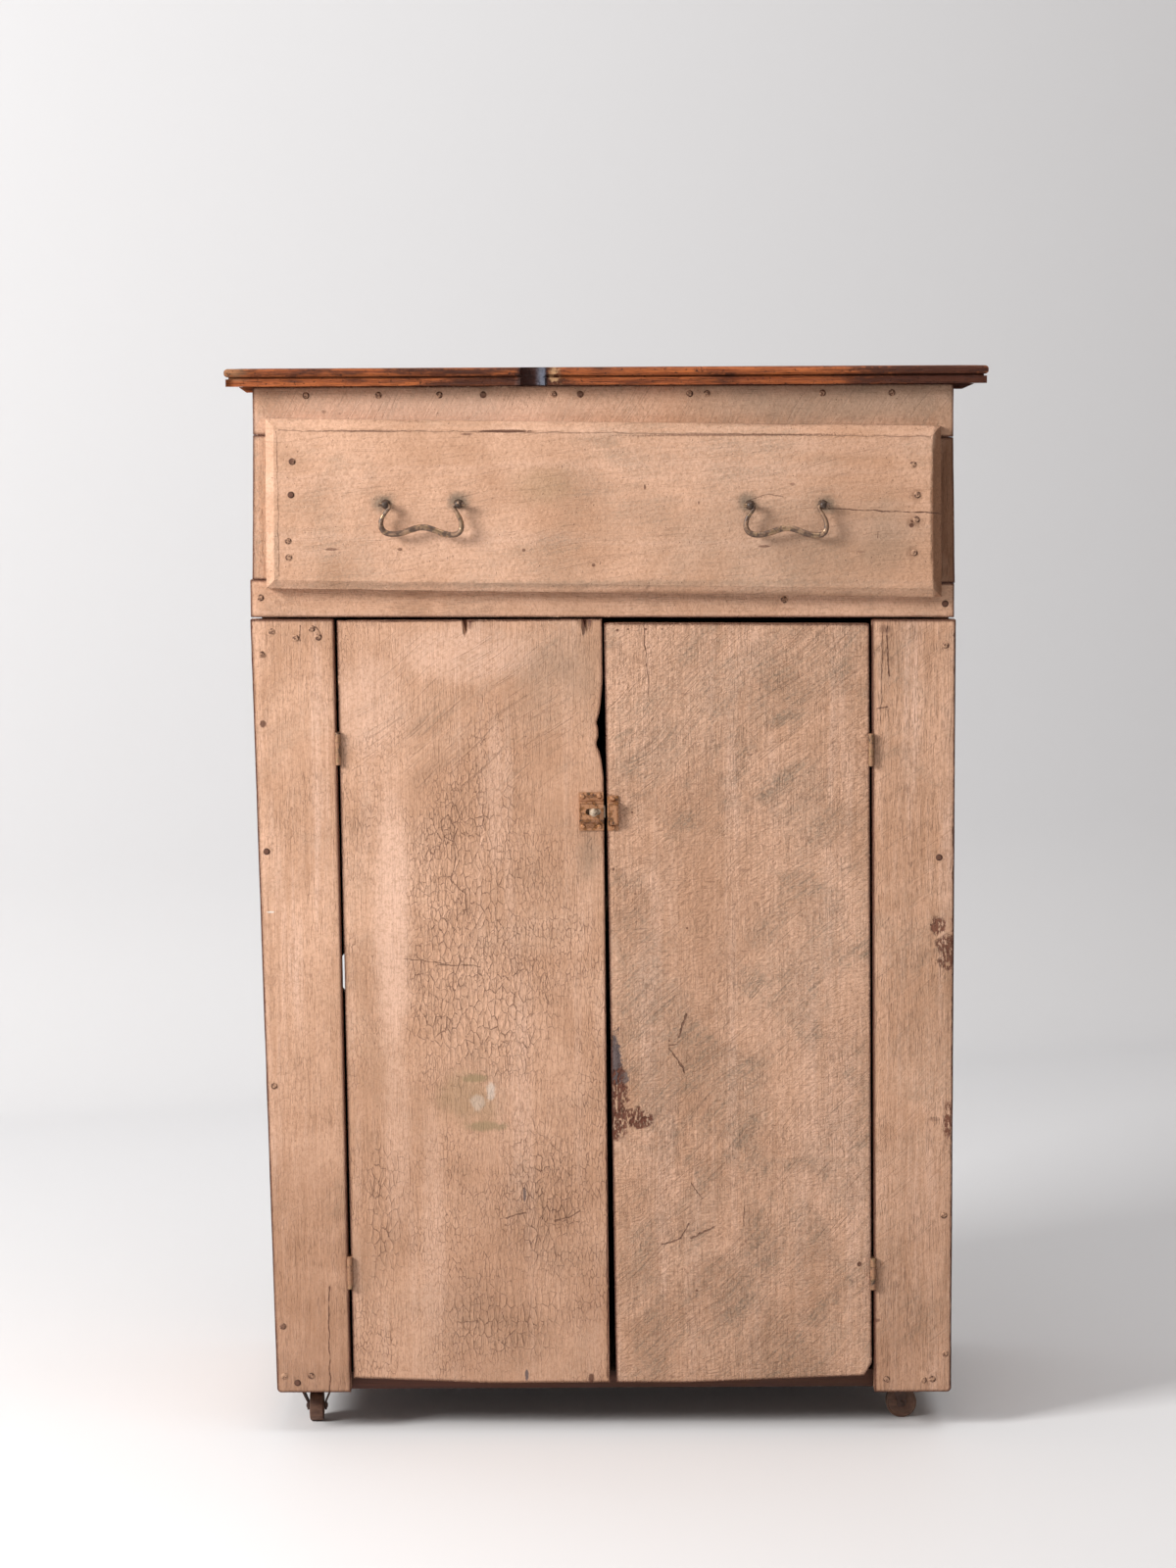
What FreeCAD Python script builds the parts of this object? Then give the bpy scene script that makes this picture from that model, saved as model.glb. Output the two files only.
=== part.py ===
import FreeCAD, Part
import math
import os
import re

import Sketcher

# A painted pine cupboard on casters: a long drawer over two board doors, and a stained top.
# The case frame has x = 0 on the middle of the face frame, y = 0 on its front face and z = 0 on
# the floor. Every piece is then moved by shift_x and shift_y, so that the origin of the finished
# model lies on the floor under the middle of the whole cupboard. The front looks towards -Y.

# Driving sizes, in millimetres, and in degrees where the name says lean or turn.
SIZES = {
    # top board, moulded on three edges
    "top_height": 1145.5,
    "top_thickness": 19,
    "nose_layer": 9.5,
    "groove_layer": 1.5,
    "groove_depth": 4.5,
    "foot_step": 1.6,
    "nose_radius": 4,
    "overhang_left": 27.4,
    "overhang_right": 35.8,
    "overhang_front": 22,
    "notch_left": 72.5,
    "notch_radius": 13.4,
    "notch_depth": 10,
    "moulding_height": 6.5,
    "moulding_width_left": 18.5,
    "moulding_width_right": 26.5,
    "moulding_bevel_left": 8,
    "moulding_bevel_right": 13,
    # face frame and case
    "case_width": 735,
    "case_depth": 400,
    "frame_thickness": 20,
    "head_rail_height": 53.4,
    "opening_top_fall": 5.9,
    "opening_height": 152.7,
    "opening_bottom_fall": 7.5,
    "waist_height": 38.1,
    "waist_fall": 3.9,
    "post_width": 33,
    "stile_gap": 2,
    # how far the frame's ends stand out past the case width, or short of it
    "rail_out_left": -0.3,
    "rail_out_right": 1.5,
    "post_foot_out_left": 2.5,
    "post_foot_out_right": 3.8,
    "waist_out_left": 4.9,
    "waist_out_right": 3.3,
    "stile_out_left": 5.5,
    "stile_out_right": 5.2,
    "stile_foot_out_left": -11.1,
    "stile_foot_out_right": 4.5,
    "side_out_left": -3,
    "side_out_right": -1.5,
    "stile_end_left": 45.4,
    "stile_end_right": 42.6,
    "stile_corner": 5,
    "side_thickness": 19,
    "side_lean_left": 0.48,
    "side_lean_right": 0.21,
    "side_foot": 45.5,
    "back_thickness": 12,
    "back_strip": 62,
    "back_bevel": 1.2,
    "back_chip_height": 442,
    "back_chip_length": 48,
    "back_chip_depth": 6,
    "bottom_thickness": 19,
    "bottom_underside": 44,
    "bottom_set_back": 0.6,
    "shelf_thickness": 18,
    "shelf_drop": 304.3,
    "shelf_set_back": 60,
    "cleat_size": 20,
    "batten_size": 20,
    "block_size": 52,
    "block_height": 40,
    "block_front_gap": 2,
    # drawer and what it runs on
    "floor_rise": 5,
    "drawer_lift": 0.3,
    "drawer_post_gap": 2.5,
    "drawer_back_gap": 55,
    "drawer_headroom": 19.7,
    "drawer_side_thickness": 14,
    "drawer_bottom_thickness": 8,
    "drawer_bottom_height": 8,
    "drawer_groove": 5,
    "drawer_panel_play": 0.2,
    "drawer_back_drop": 8,
    "drawer_side_play": 1.5,
    "drawer_top_play": 5,
    "front_margin_top": 13.8,
    "front_margin_foot": 12.3,
    "front_shift": 0.8,
    "front_lap_top": 14.9,
    "front_top_fall": 11.4,
    "front_lap_foot": 11.2,
    "front_foot_fall": 12.8,
    "front_thickness": 20,
    "front_gap": 0.5,
    "bevel_width": 9.2,
    "bevel_depth": 6.5,
    "runner_width": 30,
    "runner_height": 20,
    "guide_height": 26,
    # bail pulls
    "pull_left": 189.4,
    "pull_right": 192,
    "pull_rise_left": 83.3,
    "pull_rise_right": 80.6,
    "pull_spread": 76.2,
    "post_ball": 4,
    "post_standoff": 11,
    "post_neck": 2.6,
    "post_shank": 2,
    "rosette_radius": 5,
    "rosette_thickness": 1.6,
    "nut_size": 8.5,
    "nut_thickness": 3,
    "shank_spare": 1.5,
    "bail_rod": 1.9,
    "eye_play": 0.07,
    "bail_tip": 7,
    "bail_neck": 8.5,
    "bail_bulge_left": 2.8,
    "bail_bulge_right": 1,
    "bail_shoulder": 19,
    "bail_drop": 30.8,
    "bail_corner": 6.5,
    "bail_rise": 7,
    # doors, which lean with the racked frame
    "lean_left": 0.572,
    "lean_right": 0.371,
    "hinge_margin_left": 92.75,
    "hinge_margin_right": 79.8,
    "door_foot": 55,
    "door_thickness": 19,
    "door_gap_left": 1.5,
    "door_gap_right": 1.2,
    "left_past_top": 6.85,
    "left_past_foot": 3.15,
    "right_short_top": 5.9,
    "right_short_foot": 10.2,
    "left_drop_hinge_side": 1.5,
    "left_drop_free_side": 4.4,
    "left_foot_hinge_side": 6.6,
    "left_foot_middle": -1.3,
    "left_foot_free_side": -2.5,
    "left_foot_bend": 150,
    "right_drop_hinge_side": 7.9,
    "right_drop_free_side": 3.9,
    "right_foot_hinge_side": 6,
    "right_foot_middle": 0.5,
    "right_foot_free_side": 1.6,
    "right_foot_bend": 200,
    "wear_height": 101,
    "wear_drop": 65.9,
    "chip_width": 8,
    "chip_height": 14,
    "gouge_radius": 5.5,
    "gouge_length": 21,
    "gouge_reach_near": 139.4,
    "gouge_reach_far": 266,
    "door_batten_width": 60,
    "door_batten_thickness": 16,
    "door_batten_margin": 32,
    "lower_batten": 70,
    "upper_batten_drop": 187.3,
    # butt hinges
    "upper_hinge_drop_left": 137.5,
    "upper_hinge_drop_right": 141.7,
    "lower_hinge_left": 123,
    "lower_hinge_right": 119.2,
    "end_knuckle": 10,
    "middle_knuckle": 14,
    "knuckle_radius": 2.9,
    "knuckle_play": 0.3,
    "knuckle_proud": 3,
    "hinge_pin": 1.4,
    "pin_play": 0.05,
    "leaf_thickness": 0.9,
    "leaf_depth": 16,
    # cupboard catch
    "catch_drop": 208.7,
    "catch_plate_width": 26.4,
    "catch_plate_height": 41,
    "catch_plate_thickness": 1.4,
    "catch_box_height": 21.4,
    "catch_box_depth": 6,
    "catch_wall": 1.2,
    "catch_edge_gap": 0.2,
    "slot_length": 16,
    "slot_height": 6.6,
    "slot_margin": 3.3,
    "bolt_height": 13,
    "bolt_thickness": 3,
    "bolt_length": 17,
    "bolt_play": 0.4,
    "bolt_reach": 1.4,
    "knob_stem": 2.9,
    "knob_radius": 4.4,
    "knob_set_back": 10.8,
    "keeper_drop": 206.2,
    "keeper_width": 12.1,
    "keeper_height": 37.4,
    "keeper_depth": 7,
    "keeper_box_height": 24,
    "keeper_inset": 0.4,
    "screw_head": 2.7,
    "screw_dome": 1.3,
    "screw_shank": 1.4,
    "screw_length": 12,
    "screw_inset": 4.4,
    # casters
    "caster_margin_left": 50.3,
    "caster_margin_right": 48,
    "caster_front_left": 52,
    "caster_front_right": 60,
    "caster_back": 52,
    "caster_trail": 3,
    "wheel_radius": 16.5,
    "wheel_width": 15.8,
    "wheel_hub": 6,
    "wheel_dish": 1.2,
    "tread_round": 1.5,
    "wheel_side_play": 0.7,
    "axle_radius": 2.4,
    "axle_play": 0.06,
    "rivet_head": 3.5,
    "rivet_thickness": 1.2,
    "arm_thickness": 2,
    "crown_half_width": 17.4,
    "crown_thickness": 4,
    "crown_length": 15,
    "arm_end": 4.6,
    "shoulder_height": 21,
    "pintle_radius": 4,
    "pintle_length": 40,
    "socket_play": 0.06,
    "socket_wall": 2,
    "socket_flange": 11,
    "socket_flange_thickness": 1.5,
    "socket_length": 42,
    "swivel_gap": 1,
    # cut nails with round heads
    "nail_head": 3.6,
    "nail_dome": 1,
    "nail_shank": 1.5,
    "nail_length": 30,
    "short_nail": 17,
}

# Places that more than one piece uses, worked out from the sizes.
PLACES = {
    "shift_x": "(overhang_left - overhang_right) / 2",
    "shift_y": "(front_reach - case_depth) / 2",
    "front_reach": "front_gap + front_thickness + post_standoff + post_ball",
    "half_case": "case_width / 2",
    "top_underside": "top_height - top_thickness",
    "opening_top": "top_underside - head_rail_height",
    "opening_bottom": "opening_top - opening_height",
    "waist_bottom": "opening_bottom - waist_height",
    "rail_left": "half_case + rail_out_left",
    "rail_right": "half_case + rail_out_right",
    "post_foot_left": "half_case + post_foot_out_left",
    "post_foot_right": "half_case + post_foot_out_right",
    "waist_left": "half_case + waist_out_left",
    "waist_right": "half_case + waist_out_right",
    "stile_left": "half_case + stile_out_left",
    "stile_right": "half_case + stile_out_right",
    "stile_foot_left": "half_case + stile_foot_out_left",
    "stile_foot_right": "half_case + stile_foot_out_right",
    "side_left": "half_case + side_out_left",
    "side_right": "half_case + side_out_right",
    "shelf_top": "waist_bottom - shelf_drop",
    "back_face": "case_depth - back_thickness",
    "bottom_top": "bottom_underside + bottom_thickness",
    "half_drawer": "half_case - post_width - drawer_post_gap",
    "drawer_depth": "case_depth - drawer_back_gap",
    "drawer_side_height": "opening_height - drawer_headroom",
    "drawer_floor": "opening_bottom + floor_rise",
    "drawer_underside": "drawer_floor + drawer_lift",
    "front_face": "-front_gap - front_thickness",
    "front_half_top": "half_case - front_margin_top",
    "front_half_foot": "half_case - front_margin_foot",
    "front_top": "opening_top + front_lap_top",
    "front_foot": "opening_bottom - front_lap_foot",
    "half_spread": "pull_spread / 2",
    "pull_left_height": "opening_bottom + pull_rise_left",
    "pull_right_height": "opening_bottom + pull_rise_right",
    "hinge_left": "half_case - hinge_margin_left",
    "hinge_right": "half_case - hinge_margin_right",
    "door_height": "waist_bottom - door_foot",
    "left_reach_top": "hinge_left + left_past_top",
    "left_reach_foot": "hinge_left + left_past_foot",
    "right_reach_top": "hinge_right - right_short_top",
    "right_reach_foot": "hinge_right - right_short_foot",
    "left_top_hinge_side": "door_height - left_drop_hinge_side",
    "left_top_free_side": "door_height - left_drop_free_side",
    "right_top_hinge_side": "door_height - right_drop_hinge_side",
    "right_top_free_side": "door_height - right_drop_free_side",
    "upper_batten": "door_height - upper_batten_drop",
    "upper_hinge_left": "door_height - upper_hinge_drop_left",
    "upper_hinge_right": "door_height - upper_hinge_drop_right",
    "catch_height": "door_height - catch_drop",
    "keeper_centre": "door_height - keeper_drop",
    "left_reach_catch": "left_reach_foot + (left_reach_top - left_reach_foot) * catch_height"
                        " / left_top_free_side",
    "right_reach_catch": "right_reach_foot + (right_reach_top - right_reach_foot) * keeper_centre"
                         " / right_top_free_side",
    "caster_left": "half_case - caster_margin_left",
    "caster_right": "half_case - caster_margin_right",
    "crown_top": "bottom_underside - socket_flange_thickness - swivel_gap",
    "crown_underside": "crown_top - crown_thickness",
    "arm_inside": "wheel_width / 2 + wheel_side_play",
    "arm_outside": "arm_inside + arm_thickness",
    "socket_radius": "pintle_radius + socket_play + socket_wall",
}

# Where the free edge of the left door is worn away: the depth of the wear, and how far below the
# door's top it is, both as shares of the wear's whole height.
WORN_EDGE = (
    (0, 0), (0.025, 0.257), (0.038, 0.337), (0.07, 0.436), (0.052, 0.505), (0.052, 0.584),
    (0.072, 0.644), (0.066, 0.693), (0.039, 0.752), (0.022, 0.822), (0, 1),
)

SIGNS = {"left": "-1", "right": "1"}

# The casters: their side, their distance back, and how far each is turned about its pintle.
CASTERS = (
    ("front_left", "left", "caster_front_left", 90),
    ("front_right", "right", "caster_front_right", 0),
    ("back_left", "left", "case_depth - caster_back", 60),
    ("back_right", "right", "case_depth - caster_back", 115),
)

WORD = re.compile(r"[a-z]+(?:_[a-z]+)*")

doc = FreeCAD.newDocument("PaintedCupboard")
sheet = doc.addObject("Spreadsheet::Sheet", "Dims")
for row, (alias, size) in enumerate(SIZES.items(), start=1):
    sheet.set(f"A{row}", alias)
    sheet.set(f"B{row}", str(size))
    sheet.setAlias(f"B{row}", alias)
doc.recompute()

nodes = []


# An expression of the model: names of places are opened up, names of sizes point to the sheet.
def full(expression):
    def name(match):
        word = match.group()
        if word in PLACES:
            return "(" + full(PLACES[word]) + ")"
        if word in SIZES:
            return "Dims." + word
        return word

    return WORD.sub(name, expression)


def bind(thing, prop, expression):
    thing.setExpression(prop, full(expression))


# Puts a piece, drawn in its own frame, at a place of the case frame.
def seat(piece, x="0", y="0", z="0"):
    bind(piece, ".Placement.Base.x", f"{x} + shift_x")
    bind(piece, ".Placement.Base.y", f"{y} + shift_y")
    bind(piece, ".Placement.Base.z", z)


# Puts a piece of a door, drawn about the foot of its hinge line, on the leaning hinge line.
def hang(piece, name, y="0"):
    piece.Placement = FreeCAD.Placement(FreeCAD.Vector(), FreeCAD.Rotation(FreeCAD.Vector(0, -1, 0), 1))
    bind(piece, ".Placement.Rotation.Angle", f"lean_{name}")
    seat(piece, f"{SIGNS[name]} * hinge_{name}", y, "door_foot")


def finish(piece, label):
    piece.Label = label
    nodes.append(piece)
    return piece


# The height at x of an edge that falls a little to the right across the case.
def falling(height, fall, x):
    return f"{height} - {fall} * ({x}) / case_width"


# The x of a hinge line at a height above the floor.
def hinge_line(name, height):
    return f"{SIGNS[name]} * hinge_{name} - ({height} - door_foot) * tan(lean_{name})"


# The x of a leaning side panel at a height, a little way in from its outer face.
def side_line(name, height, inset="0"):
    return f"{SIGNS[name]} * (side_{name} - {inset}) + (top_underside - ({height})) * tan(side_lean_{name})"


# ---- sketches and solid features ----

def new_body(label):
    return doc.addObject("PartDesign::Body", label)


# Puts a sketch or a primitive on one of the origin planes of its own body.
def attach(body, feature, plane):
    for datum in body.Origin.OriginFeatures:
        if datum.Role == plane + "_Plane":
            feature.AttachmentSupport = [(datum, "")]
    feature.MapMode = "FlatFace"


def new_sketch(body, plane, offset=None):
    sketch = body.newObject("Sketcher::SketchObject", "Sketch")
    attach(body, sketch, plane)
    if offset is not None:
        bind(sketch, ".AttachmentOffset.Base.z", offset)
    return sketch


# Holds a point of a sketch at two expressions from the sketch's origin.
def pin_point(sketch, curve, end, x, y):
    for kind, expression in (("DistanceX", x), ("DistanceY", y)):
        index = sketch.addConstraint(Sketcher.Constraint(kind, -1, 1, curve, end, 1.0))
        bind(sketch, f"Constraints[{index}]", expression)


# A closed outline of straight edges through points given as pairs of expressions.
def draw_outline(sketch, points):
    count = len(points)
    spots = []
    for index in range(count):
        turn = 2 * math.pi * index / count
        spots.append(FreeCAD.Vector(10 * math.cos(turn), 10 * math.sin(turn), 0))
    first = sketch.GeometryCount
    for index in range(count):
        sketch.addGeometry(Part.LineSegment(spots[index], spots[(index + 1) % count]))
    for index in range(count):
        following = first + (index + 1) % count
        sketch.addConstraint(Sketcher.Constraint("Coincident", first + index, 2, following, 1))
    for index, (x, y) in enumerate(points):
        pin_point(sketch, first + index, 1, x, y)


def rectangle(left, right, low, high):
    return [(left, low), (right, low), (right, high), (left, high)]


def draw_circle(sketch, x, y, radius):
    curve = sketch.addGeometry(Part.Circle(FreeCAD.Vector(1, 1, 0), FreeCAD.Vector(0, 0, 1), 2))
    pin_point(sketch, curve, 3, x, y)
    index = sketch.addConstraint(Sketcher.Constraint("Radius", curve, 2.0))
    bind(sketch, f"Constraints[{index}]", radius)


def outline_sketch(body, plane, points, offset=None):
    sketch = new_sketch(body, plane, offset)
    draw_outline(sketch, points)
    return sketch


def circle_sketch(body, plane, x, y, radius, offset=None):
    sketch = new_sketch(body, plane, offset)
    draw_circle(sketch, x, y, radius)
    return sketch


def pad(body, sketch, length, reverse=False, middle=False):
    feature = body.newObject("PartDesign::Pad", "Pad")
    feature.Profile = sketch
    feature.Reversed = reverse
    feature.Midplane = middle
    bind(feature, "Length", length)
    return feature


def pocket_through(body, sketch):
    feature = body.newObject("PartDesign::Pocket", "Pocket")
    feature.Profile = sketch
    feature.Type = 1
    feature.Midplane = True
    return feature


def pocket(body, sketch, length, reverse=False, middle=False):
    feature = body.newObject("PartDesign::Pocket", "Pocket")
    feature.Profile = sketch
    feature.Reversed = reverse
    feature.Midplane = middle
    bind(feature, "Length", length)
    return feature


def revolve(body, sketch, axis):
    feature = body.newObject("PartDesign::Revolution", "Revolution")
    feature.Profile = sketch
    feature.ReferenceAxis = (sketch, [axis])
    feature.Angle = 360
    return feature


# Rounds or bevels the edges of the last feature for which the test holds.
def dress(body, kind, prop, size, test):
    doc.recompute()
    base = body.Tip
    names = []
    for index, edge in enumerate(base.Shape.Edges, start=1):
        if test(edge.BoundBox):
            names.append(f"Edge{index}")
    feature = body.newObject("PartDesign::" + kind, kind)
    feature.Base = (base, names)
    bind(feature, prop, size)
    return feature


def is_short(extent):
    return extent < 0.01


# ---- boards ----

# A board seen from the front: its outline lies in XZ and its thickness runs back from y.
def front_board(label, points, thickness, y="0"):
    body = new_body(label)
    pad(body, outline_sketch(body, "XZ", points), thickness, reverse=True)
    seat(body, "0", y)
    return body


# A board seen from the side: its outline lies in YZ and its thickness runs right from x.
def side_board(label, points, thickness, x="0"):
    body = new_body(label)
    pad(body, outline_sketch(body, "YZ", points), thickness)
    seat(body, x)
    return body


# A board seen from above: its outline lies in XY and its thickness runs up from z.
def flat_board(label, points, thickness, z):
    body = new_body(label)
    pad(body, outline_sketch(body, "XY", points), thickness)
    seat(body, "0", "0", z)
    return body


# ---- Part primitives, for small metal pieces ----

def block(x, y, z, length, width, height):
    piece = doc.addObject("Part::Box", "Block")
    bind(piece, "Length", length)
    bind(piece, "Width", width)
    bind(piece, "Height", height)
    bind(piece, ".Placement.Base.x", x)
    bind(piece, ".Placement.Base.y", y)
    bind(piece, ".Placement.Base.z", z)
    return piece


AXES = {
    "X": FreeCAD.Rotation(FreeCAD.Vector(0, 1, 0), 90),
    "Y": FreeCAD.Rotation(FreeCAD.Vector(1, 0, 0), -90),
    "Z": FreeCAD.Rotation(),
}


# A round bar that starts at a point and runs along +X, +Y or +Z.
def bar(axis, x, y, z, radius, length):
    piece = doc.addObject("Part::Cylinder", "Bar")
    bind(piece, "Radius", radius)
    bind(piece, "Height", length)
    piece.Placement.Rotation = AXES[axis]
    bind(piece, ".Placement.Base.x", x)
    bind(piece, ".Placement.Base.y", y)
    bind(piece, ".Placement.Base.z", z)
    return piece


def fuse(pieces):
    joined = doc.addObject("Part::MultiFuse", "Fuse")
    joined.Shapes = pieces
    return joined


def cut(base, tool):
    left = doc.addObject("Part::Cut", "Cut")
    left.Base = base
    left.Tool = tool
    return left


def group(pieces):
    joined = doc.addObject("Part::Compound", "Group")
    joined.Links = pieces
    return joined


# ---- top ----

# One layer of the top board, set back from the widest outline on the front and both ends.
def top_layer(body, low, thickness, set_back):
    points = rectangle(
        f"-half_case - overhang_left + {set_back}",
        f"half_case + overhang_right - {set_back}",
        f"-overhang_front + {set_back}",
        "case_depth",
    )
    pad(body, outline_sketch(body, "XY", points, low), thickness)


def make_top_board():
    body = new_body("top_board")
    foot_layer = "top_thickness - nose_layer - groove_layer"
    top_layer(body, "0", foot_layer, "foot_step")
    top_layer(body, foot_layer, "groove_layer", "groove_depth")
    top_layer(body, "top_thickness - nose_layer", "nose_layer", "0")

    # the nose is rounded above and below along the front and the two ends
    front = -SIZES["overhang_front"]
    left = -SIZES["case_width"] / 2 - SIZES["overhang_left"]
    right = SIZES["case_width"] / 2 + SIZES["overhang_right"]
    nose_foot = SIZES["top_thickness"] - SIZES["nose_layer"]

    def on_nose(box):
        level = is_short(box.ZLength) and box.ZMin > nose_foot - 0.01
        on_front = is_short(box.YMax - front)
        on_end = is_short(box.XMax - left) or is_short(right - box.XMin)
        return level and (on_front or on_end)

    dress(body, "Fillet", "Radius", "nose_radius", on_nose)

    # a scoop worn through the front edge
    scoop = circle_sketch(
        body, "XY", "-notch_left", "-overhang_front + notch_depth - notch_radius", "notch_radius"
    )
    pocket_through(body, scoop)
    seat(body, "0", "0", "top_underside")
    finish(body, "top_board")


# A small bevelled moulding under each end of the top, against the side panel.
def make_top_mouldings():
    for name, sign in SIGNS.items():
        foot = "top_underside - moulding_height"
        outer = f"{sign} * (side_{name} + moulding_width_{name})"
        points = [
            (side_line(name, foot), foot),
            (f"{outer} - {sign} * moulding_bevel_{name}", foot),
            (outer, "top_underside - 1"),
            (outer, "top_underside"),
            (side_line(name, "top_underside"), "top_underside"),
        ]
        label = f"top_moulding_{name}"
        depth = "case_depth - frame_thickness"
        finish(front_board(label, points, depth, "frame_thickness"), label)


# ---- case ----

def make_face_frame():
    rail = [
        ("-rail_left", falling("opening_top", "opening_top_fall", "-rail_left")),
        ("rail_right", falling("opening_top", "opening_top_fall", "rail_right")),
        ("rail_right", "top_underside"),
        ("-rail_left", "top_underside"),
    ]
    finish(front_board("top_rail", rail, "frame_thickness"), "top_rail")

    waist = [
        ("-waist_left", falling("waist_bottom", "waist_fall", "-waist_left")),
        ("waist_right", falling("waist_bottom", "waist_fall", "waist_right")),
        ("waist_right", falling("opening_bottom", "opening_bottom_fall", "waist_right")),
        ("-waist_left", falling("opening_bottom", "opening_bottom_fall", "-waist_left")),
    ]
    finish(front_board("waist_rail", waist, "frame_thickness"), "waist_rail")

    for name, sign in SIGNS.items():
        inner = f"{sign} * (half_case - post_width)"
        foot = f"{sign} * post_foot_{name}"
        head = f"{sign} * rail_{name}"
        points = [
            (foot, falling("opening_bottom", "opening_bottom_fall", foot)),
            (inner, falling("opening_bottom", "opening_bottom_fall", inner)),
            (inner, falling("opening_top", "opening_top_fall", inner)),
            (head, falling("opening_top", "opening_top_fall", head)),
        ]
        label = f"drawer_post_{name}"
        finish(front_board(label, points, "frame_thickness"), label)


# The long stiles beside the doors: they taper to the foot, and their inner edge follows the doors.
def make_stiles():
    for name, sign in SIGNS.items():
        label = f"stile_{name}"
        outer_top = f"{sign} * stile_{name}"
        outer_foot = f"{sign} * stile_foot_{name}"
        foot = f"stile_end_{name}"
        head = falling("waist_bottom", "waist_fall", f"{sign} * hinge_{name}") + " - stile_gap"
        points = [
            (outer_foot, foot),
            (f"{hinge_line(name, foot)} + {sign} * door_gap_{name}", foot),
            (f"{hinge_line(name, head)} + {sign} * door_gap_{name}", head),
            (outer_top, falling("waist_bottom", "waist_fall", outer_top) + " - stile_gap"),
        ]
        body = front_board(label, points, "frame_thickness")
        middle = 0.43 * SIZES["case_width"]

        def on_outer_foot(box):
            at_foot = is_short(box.ZLength) and is_short(box.ZMax - SIZES[f"stile_end_{name}"])
            return at_foot and is_short(box.XLength) and float(sign) * box.XMin > middle

        dress(body, "Fillet", "Radius", "stile_corner", on_outer_foot)
        finish(body, label)


def make_side_panels():
    for name in SIGNS:
        label = f"side_panel_{name}"
        points = [
            (side_line(name, "side_foot", "side_thickness"), "side_foot"),
            (side_line(name, "side_foot"), "side_foot"),
            (side_line(name, "top_underside"), "top_underside"),
            (side_line(name, "top_underside", "side_thickness"), "top_underside"),
        ]
        finish(front_board(label, points, "back_face - frame_thickness", "frame_thickness"), label)


# One upright board of the back, bevelled along its two long outer edges.
def back_plank(label, left_foot, left_top, right_foot, right_top):
    points = [
        (left_foot, "side_foot"),
        (right_foot, "side_foot"),
        (right_top, "top_underside"),
        (left_top, "top_underside"),
    ]
    body = front_board(label, points, "back_thickness", "back_face")

    def on_outer_long_edge(box):
        return box.ZLength > 100 and box.YMin > SIZES["back_thickness"] - 0.01

    dress(body, "Chamfer", "Size", "back_bevel", on_outer_long_edge)
    return body


# The back is a narrow strip, which has a chip in its edge, and three wide boards.
def make_back():
    edge = "-side_left + back_strip"
    strip = back_plank(
        "back_strip", side_line("left", "side_foot"), side_line("left", "top_underside"), edge, edge
    )
    doc.recompute()
    chip = outline_sketch(
        strip,
        "XZ",
        [
            (f"{edge} - back_chip_depth", "back_chip_height - back_chip_length * 0.35"),
            (f"{edge} + back_bevel", "back_chip_height - back_chip_length / 2"),
            (f"{edge} + back_bevel", "back_chip_height + back_chip_length / 2"),
            (f"{edge} - back_chip_depth", "back_chip_height + back_chip_length * 0.35"),
        ],
    )
    pocket_through(strip, chip)
    finish(strip, "back_strip")

    boards = 3
    width = f"(side_left + side_right - back_strip) / {boards}"
    planks = []
    for index in range(boards):
        left = f"{edge} + {index} * {width}"
        right = f"{edge} + {index + 1} * {width}"
        right_foot = side_line("right", "side_foot") if index == boards - 1 else right
        planks.append(back_plank("back_board", left, left, right_foot, right))
    finish(group(planks), "back_boards")


# A board that lies between the two side panels.
def between_sides(label, low, high, front, back):
    points = [
        (side_line("left", low, "side_thickness"), low),
        (side_line("right", low, "side_thickness"), low),
        (side_line("right", high, "side_thickness"), high),
        (side_line("left", high, "side_thickness"), high),
    ]
    return front_board(label, points, f"{back} - ({front})", front)


# Holes drilled down through a board for the caster sockets.
def drill_for_sockets(body, spots, front):
    holes = new_sketch(body, "XY")
    for x, y in spots:
        draw_circle(holes, x, f"{y} - ({front})", "socket_radius")
    pocket_through(body, holes)


def make_floor_and_shelf():
    front = "frame_thickness + bottom_set_back"
    floor = between_sides("bottom_board", "bottom_underside", "bottom_top", front, "back_face")
    drill_for_sockets(floor, caster_spots(), front)
    finish(floor, "bottom_board")

    underside = "shelf_top - shelf_thickness"
    finish(between_sides("shelf", underside, "shelf_top", "shelf_set_back", "back_face"), "shelf")

    underside = "top_underside - batten_size"
    batten = between_sides(
        "top_batten", underside, "top_underside", "frame_thickness", "frame_thickness + batten_size"
    )
    finish(batten, "top_batten")


def caster_spots():
    return [(f"{SIGNS[side]} * caster_{side}", y) for name, side, y, turn in CASTERS]


# A pair of strips against the inside of the side panels, out to a given reach from the middle.
def side_strips(label, reaches, low, high, front):
    strips = []
    for name, sign in SIGNS.items():
        inner = f"{sign} * ({reaches[name]})"
        points = [
            (side_line(name, low, "side_thickness"), low),
            (inner, low),
            (inner, high),
            (side_line(name, high, "side_thickness"), high),
        ]
        strips.append(front_board("strip", points, f"back_face - ({front})", front))
    finish(group(strips), label)


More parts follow.
